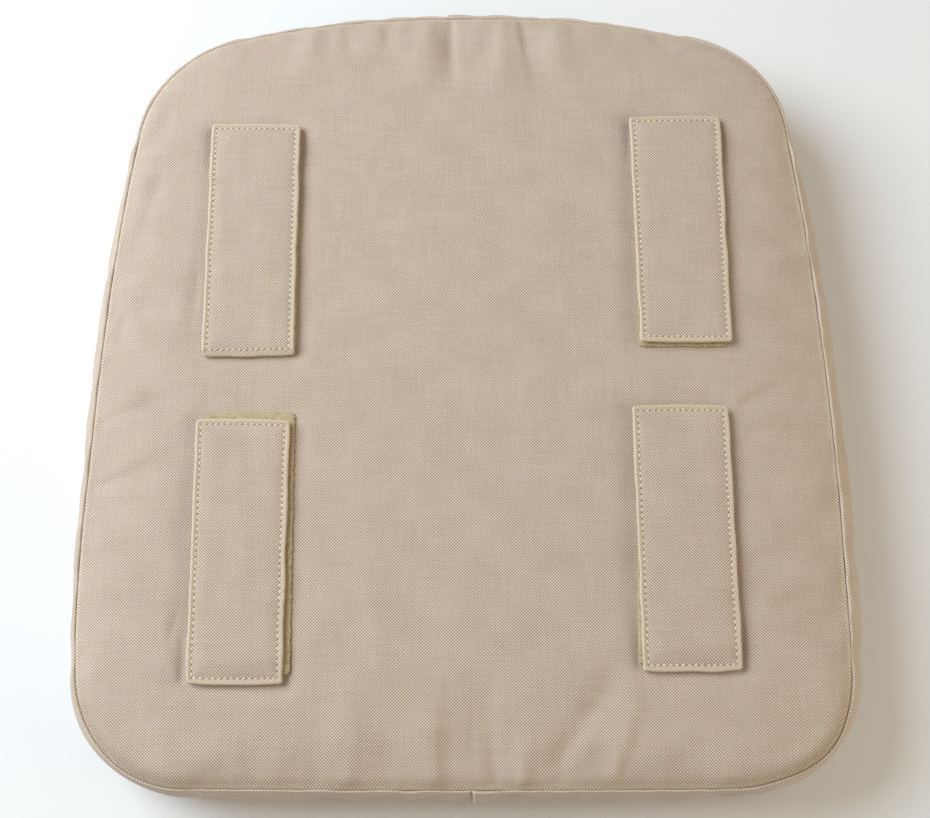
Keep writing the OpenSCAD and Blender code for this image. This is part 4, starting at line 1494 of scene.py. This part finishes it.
# %% Zip teeth
ZIP_SLIT, STOP_L, ZIP_GAP = 1.4, 2.5, 0.3
TOOTH_L, TEETH_W, TEETH_T, TOOTH_PITCH = 1.35, 1.9, 1.15, 2.4
# each tooth stands just off its tape, and reaches a little over the slit
TOOTH_GAP, TOOTH_OVERHANG = 0.05, 0.25


def tooth_model():
    """A tooth along +Y from the tape, with +X along the zip and +Z up to its tip."""
    bpy.ops.object.select_all(action="DESELECT")
    bpy.ops.mesh.primitive_cube_add(size=1)
    block = bpy.context.object
    block.scale = (TOOTH_L, TEETH_T, TEETH_W)
    bpy.ops.object.transform_apply(location=False, rotation=False, scale=True)
    bpy.ops.object.mode_set(mode="EDIT")
    bpy.ops.mesh.select_all(action="SELECT")
    bpy.ops.mesh.bevel(offset=0.28, segments=2, affect="EDGES")
    bpy.ops.object.mode_set(mode="OBJECT")
    return take_model(block, MM)


def teeth_row(name, node, way, shift):
    reach = ZIP_HALF - 2 * ZIP_GAP - STOP_L - 1
    angles = np.arccos(np.arange(-reach + shift, reach, TOOTH_PITCH) / REAR_R)
    out = np.column_stack([np.cos(angles), np.sin(angles), np.zeros(len(angles))])
    alongs = np.column_stack([-out[:, 1], out[:, 0], out[:, 2]])
    places = np.array([*rear_c, 0]) + (REAR_R + ZIP_OUT + TOOTH_GAP + TEETH_T / 2) * out
    places[:, 2] = MID_Z + way * (ZIP_SLIT / 2 + TEETH_W / 2 - TOOTH_OVERHANG)
    piece = repeat(name, TOOTH, places, alongs, [UP] * len(angles), 0)
    bpy.ops.object.shade_smooth_by_angle(angle=math.radians(40))
    return finish_piece(piece, ZIP_PLASTIC, "cushion", [node])


TOOTH = tooth_model()
teeth_upper = teeth_row("teeth_upper", "zip_teeth_upper", 1, 0.0)
teeth_lower = teeth_row("teeth_lower", "zip_teeth_lower", -1, TOOTH_PITCH / 2)
print("teeth", len(teeth_upper.data.polygons), len(teeth_lower.data.polygons))

# %% [markdown]
# The band is sewn to the zip's tapes with a line of stitches all round the slot. A ray from
# outside finds the band's surface at each stitch, so that the thread lies on the cloth wherever
# the filling has pushed it.

# %% Stitches round the zip's slot
# from the slot's edge to its stitches, and from the seam to where a ray starts outside the band
SLOT_STITCH, RAY_START = 2.2, 30


def lay_on_band(s, z):
    """The point of the band's surface at a place of the seam and a height, and the way out."""
    xy, out = seam_point(np.array([s]))
    start = Vector((*(xy[0] + RAY_START * out[0]), z)) * MM
    away = Vector((*out[0], 0))
    for piece in (band_right, band_left):
        hit, spot, _, _ = piece.ray_cast(start, -away)
        if hit:
            return np.array(spot) / MM, np.array(away)
    return np.array([*(xy[0] + SLOT_OUT * out[0]), z]), np.array(away)


def slot_stitches():
    first, last = rear_place(ZIP_HALF + SLOT_STITCH), rear_place(-ZIP_HALF - SLOT_STITCH)
    off = ZIP_SLOT / 2 + SLOT_STITCH
    low, high = MID_Z - off, MID_Z + off
    places, alongs, ups = [], [], []
    for ends in stitch_ends([(first, low), (last, low), (last, high), (first, high), (first, low)]):
        (start, away), (end, _) = (lay_on_band(*place) for place in ends)
        places.append((start + end) / 2 + 0.1 * away)
        alongs.append(unit(end - start))
        ups.append(away)
    piece = repeat("stitches_zip_slot", STITCH, places, alongs, ups, 95, 0.1, 0.1)
    return finish_piece(piece, THREAD, "cushion")


slot_thread = slot_stitches()
print("slot stitches", len(slot_thread.data.polygons))

# %% [markdown]
# ## Floor, light and camera
# The cushion lies on a plain pale floor.

# %% Floor
def floor_finish():
    paper = Finish("floor", Specular_IOR_Level=0.1, Roughness=0.9)
    cloud = paper.noise(paper.place(), 0.0015)
    colour = paper.mix(cloud, (0.885, 0.905, 0.945, 1), (0.915, 0.93, 0.955, 1))
    paper.feed(paper.shader, {"Base Color": colour})
    return paper.owner


bpy.ops.object.select_all(action="DESELECT")
bpy.ops.mesh.primitive_plane_add(size=8, location=(0, 0, 0))
floor = bpy.context.object
floor.name = floor.data.name = "floor"
floor.data.materials.append(floor_finish())
print("floor", tuple(floor.dimensions))

# %% [markdown]
# A large soft light stands to the upper left, as in the photo, where the flaps' shadows fall
# to the right. The room's own light fills the rest. It is dimmer and warmer on the cushion
# than in the background.

# %% Light
ROOM_LEVEL = 0.38
ROOM_WARMTH = (0.985, 0.85, 0.68, 1)
scene = bpy.context.scene
room = Finish("room", is_world=True)
scene.world = room.owner
seen = 0
for ray in ("Is Camera Ray", "Is Glossy Ray", "Is Transmission Ray"):
    seen = room.node("ShaderNodeLightPath", {}, {}, ray).maths("MAXIMUM", seen)
room.feed(room.shader, {
    "Strength": seen * (1 - ROOM_LEVEL) + ROOM_LEVEL,
    "Color": room.mix(seen, ROOM_WARMTH, (1, 1, 1, 1)),
})


def soft_light(name, place, target, size, power, colour):
    light = bpy.data.lights.new(name, "AREA")
    light.shape = "DISK"
    light.size = size
    light.energy = power
    light.color = colour
    lamp = bpy.data.objects.new(name, light)
    scene.collection.objects.link(lamp)
    lamp.location = place
    lamp.rotation_euler = (Vector(target) - Vector(place)).to_track_quat("-Z", "Y").to_euler()


soft_light(
    "key", place=(-1.2, 0.42, 1.13), target=(0, 0, 0.03),
    size=1.4, power=31.8, colour=(0.825, 0.93, 1.0),
)
soft_light(
    "fill", place=(1.55, -0.45, 0.6), target=(0.1, 0, 0.03),
    size=1.2, power=8.3, colour=(0.97, 0.89, 0.70),
)
print("lights", len(bpy.data.lights))

# %% [markdown]
# The camera stands where the photo's stood: the focal length is in the photo's pixels, and the tilt
# is from straight down.

# %% Camera
FOCAL_PX, PHOTO_W, SENSOR_W, TILT = 1400, 930, 36, 17.6
lens = bpy.data.cameras.new("camera")
lens.sensor_width = SENSOR_W
lens.lens = FOCAL_PX / PHOTO_W * SENSOR_W
camera = bpy.data.objects.new("camera", lens)
scene.collection.objects.link(camera)
camera.location = (0.0013, -0.2769, 0.851)
camera.rotation_euler = (math.radians(TILT), 0, 0)
scene.camera = camera
scene.view_settings.view_transform = "Standard"
print("camera lens", round(lens.lens, 1), "mm")
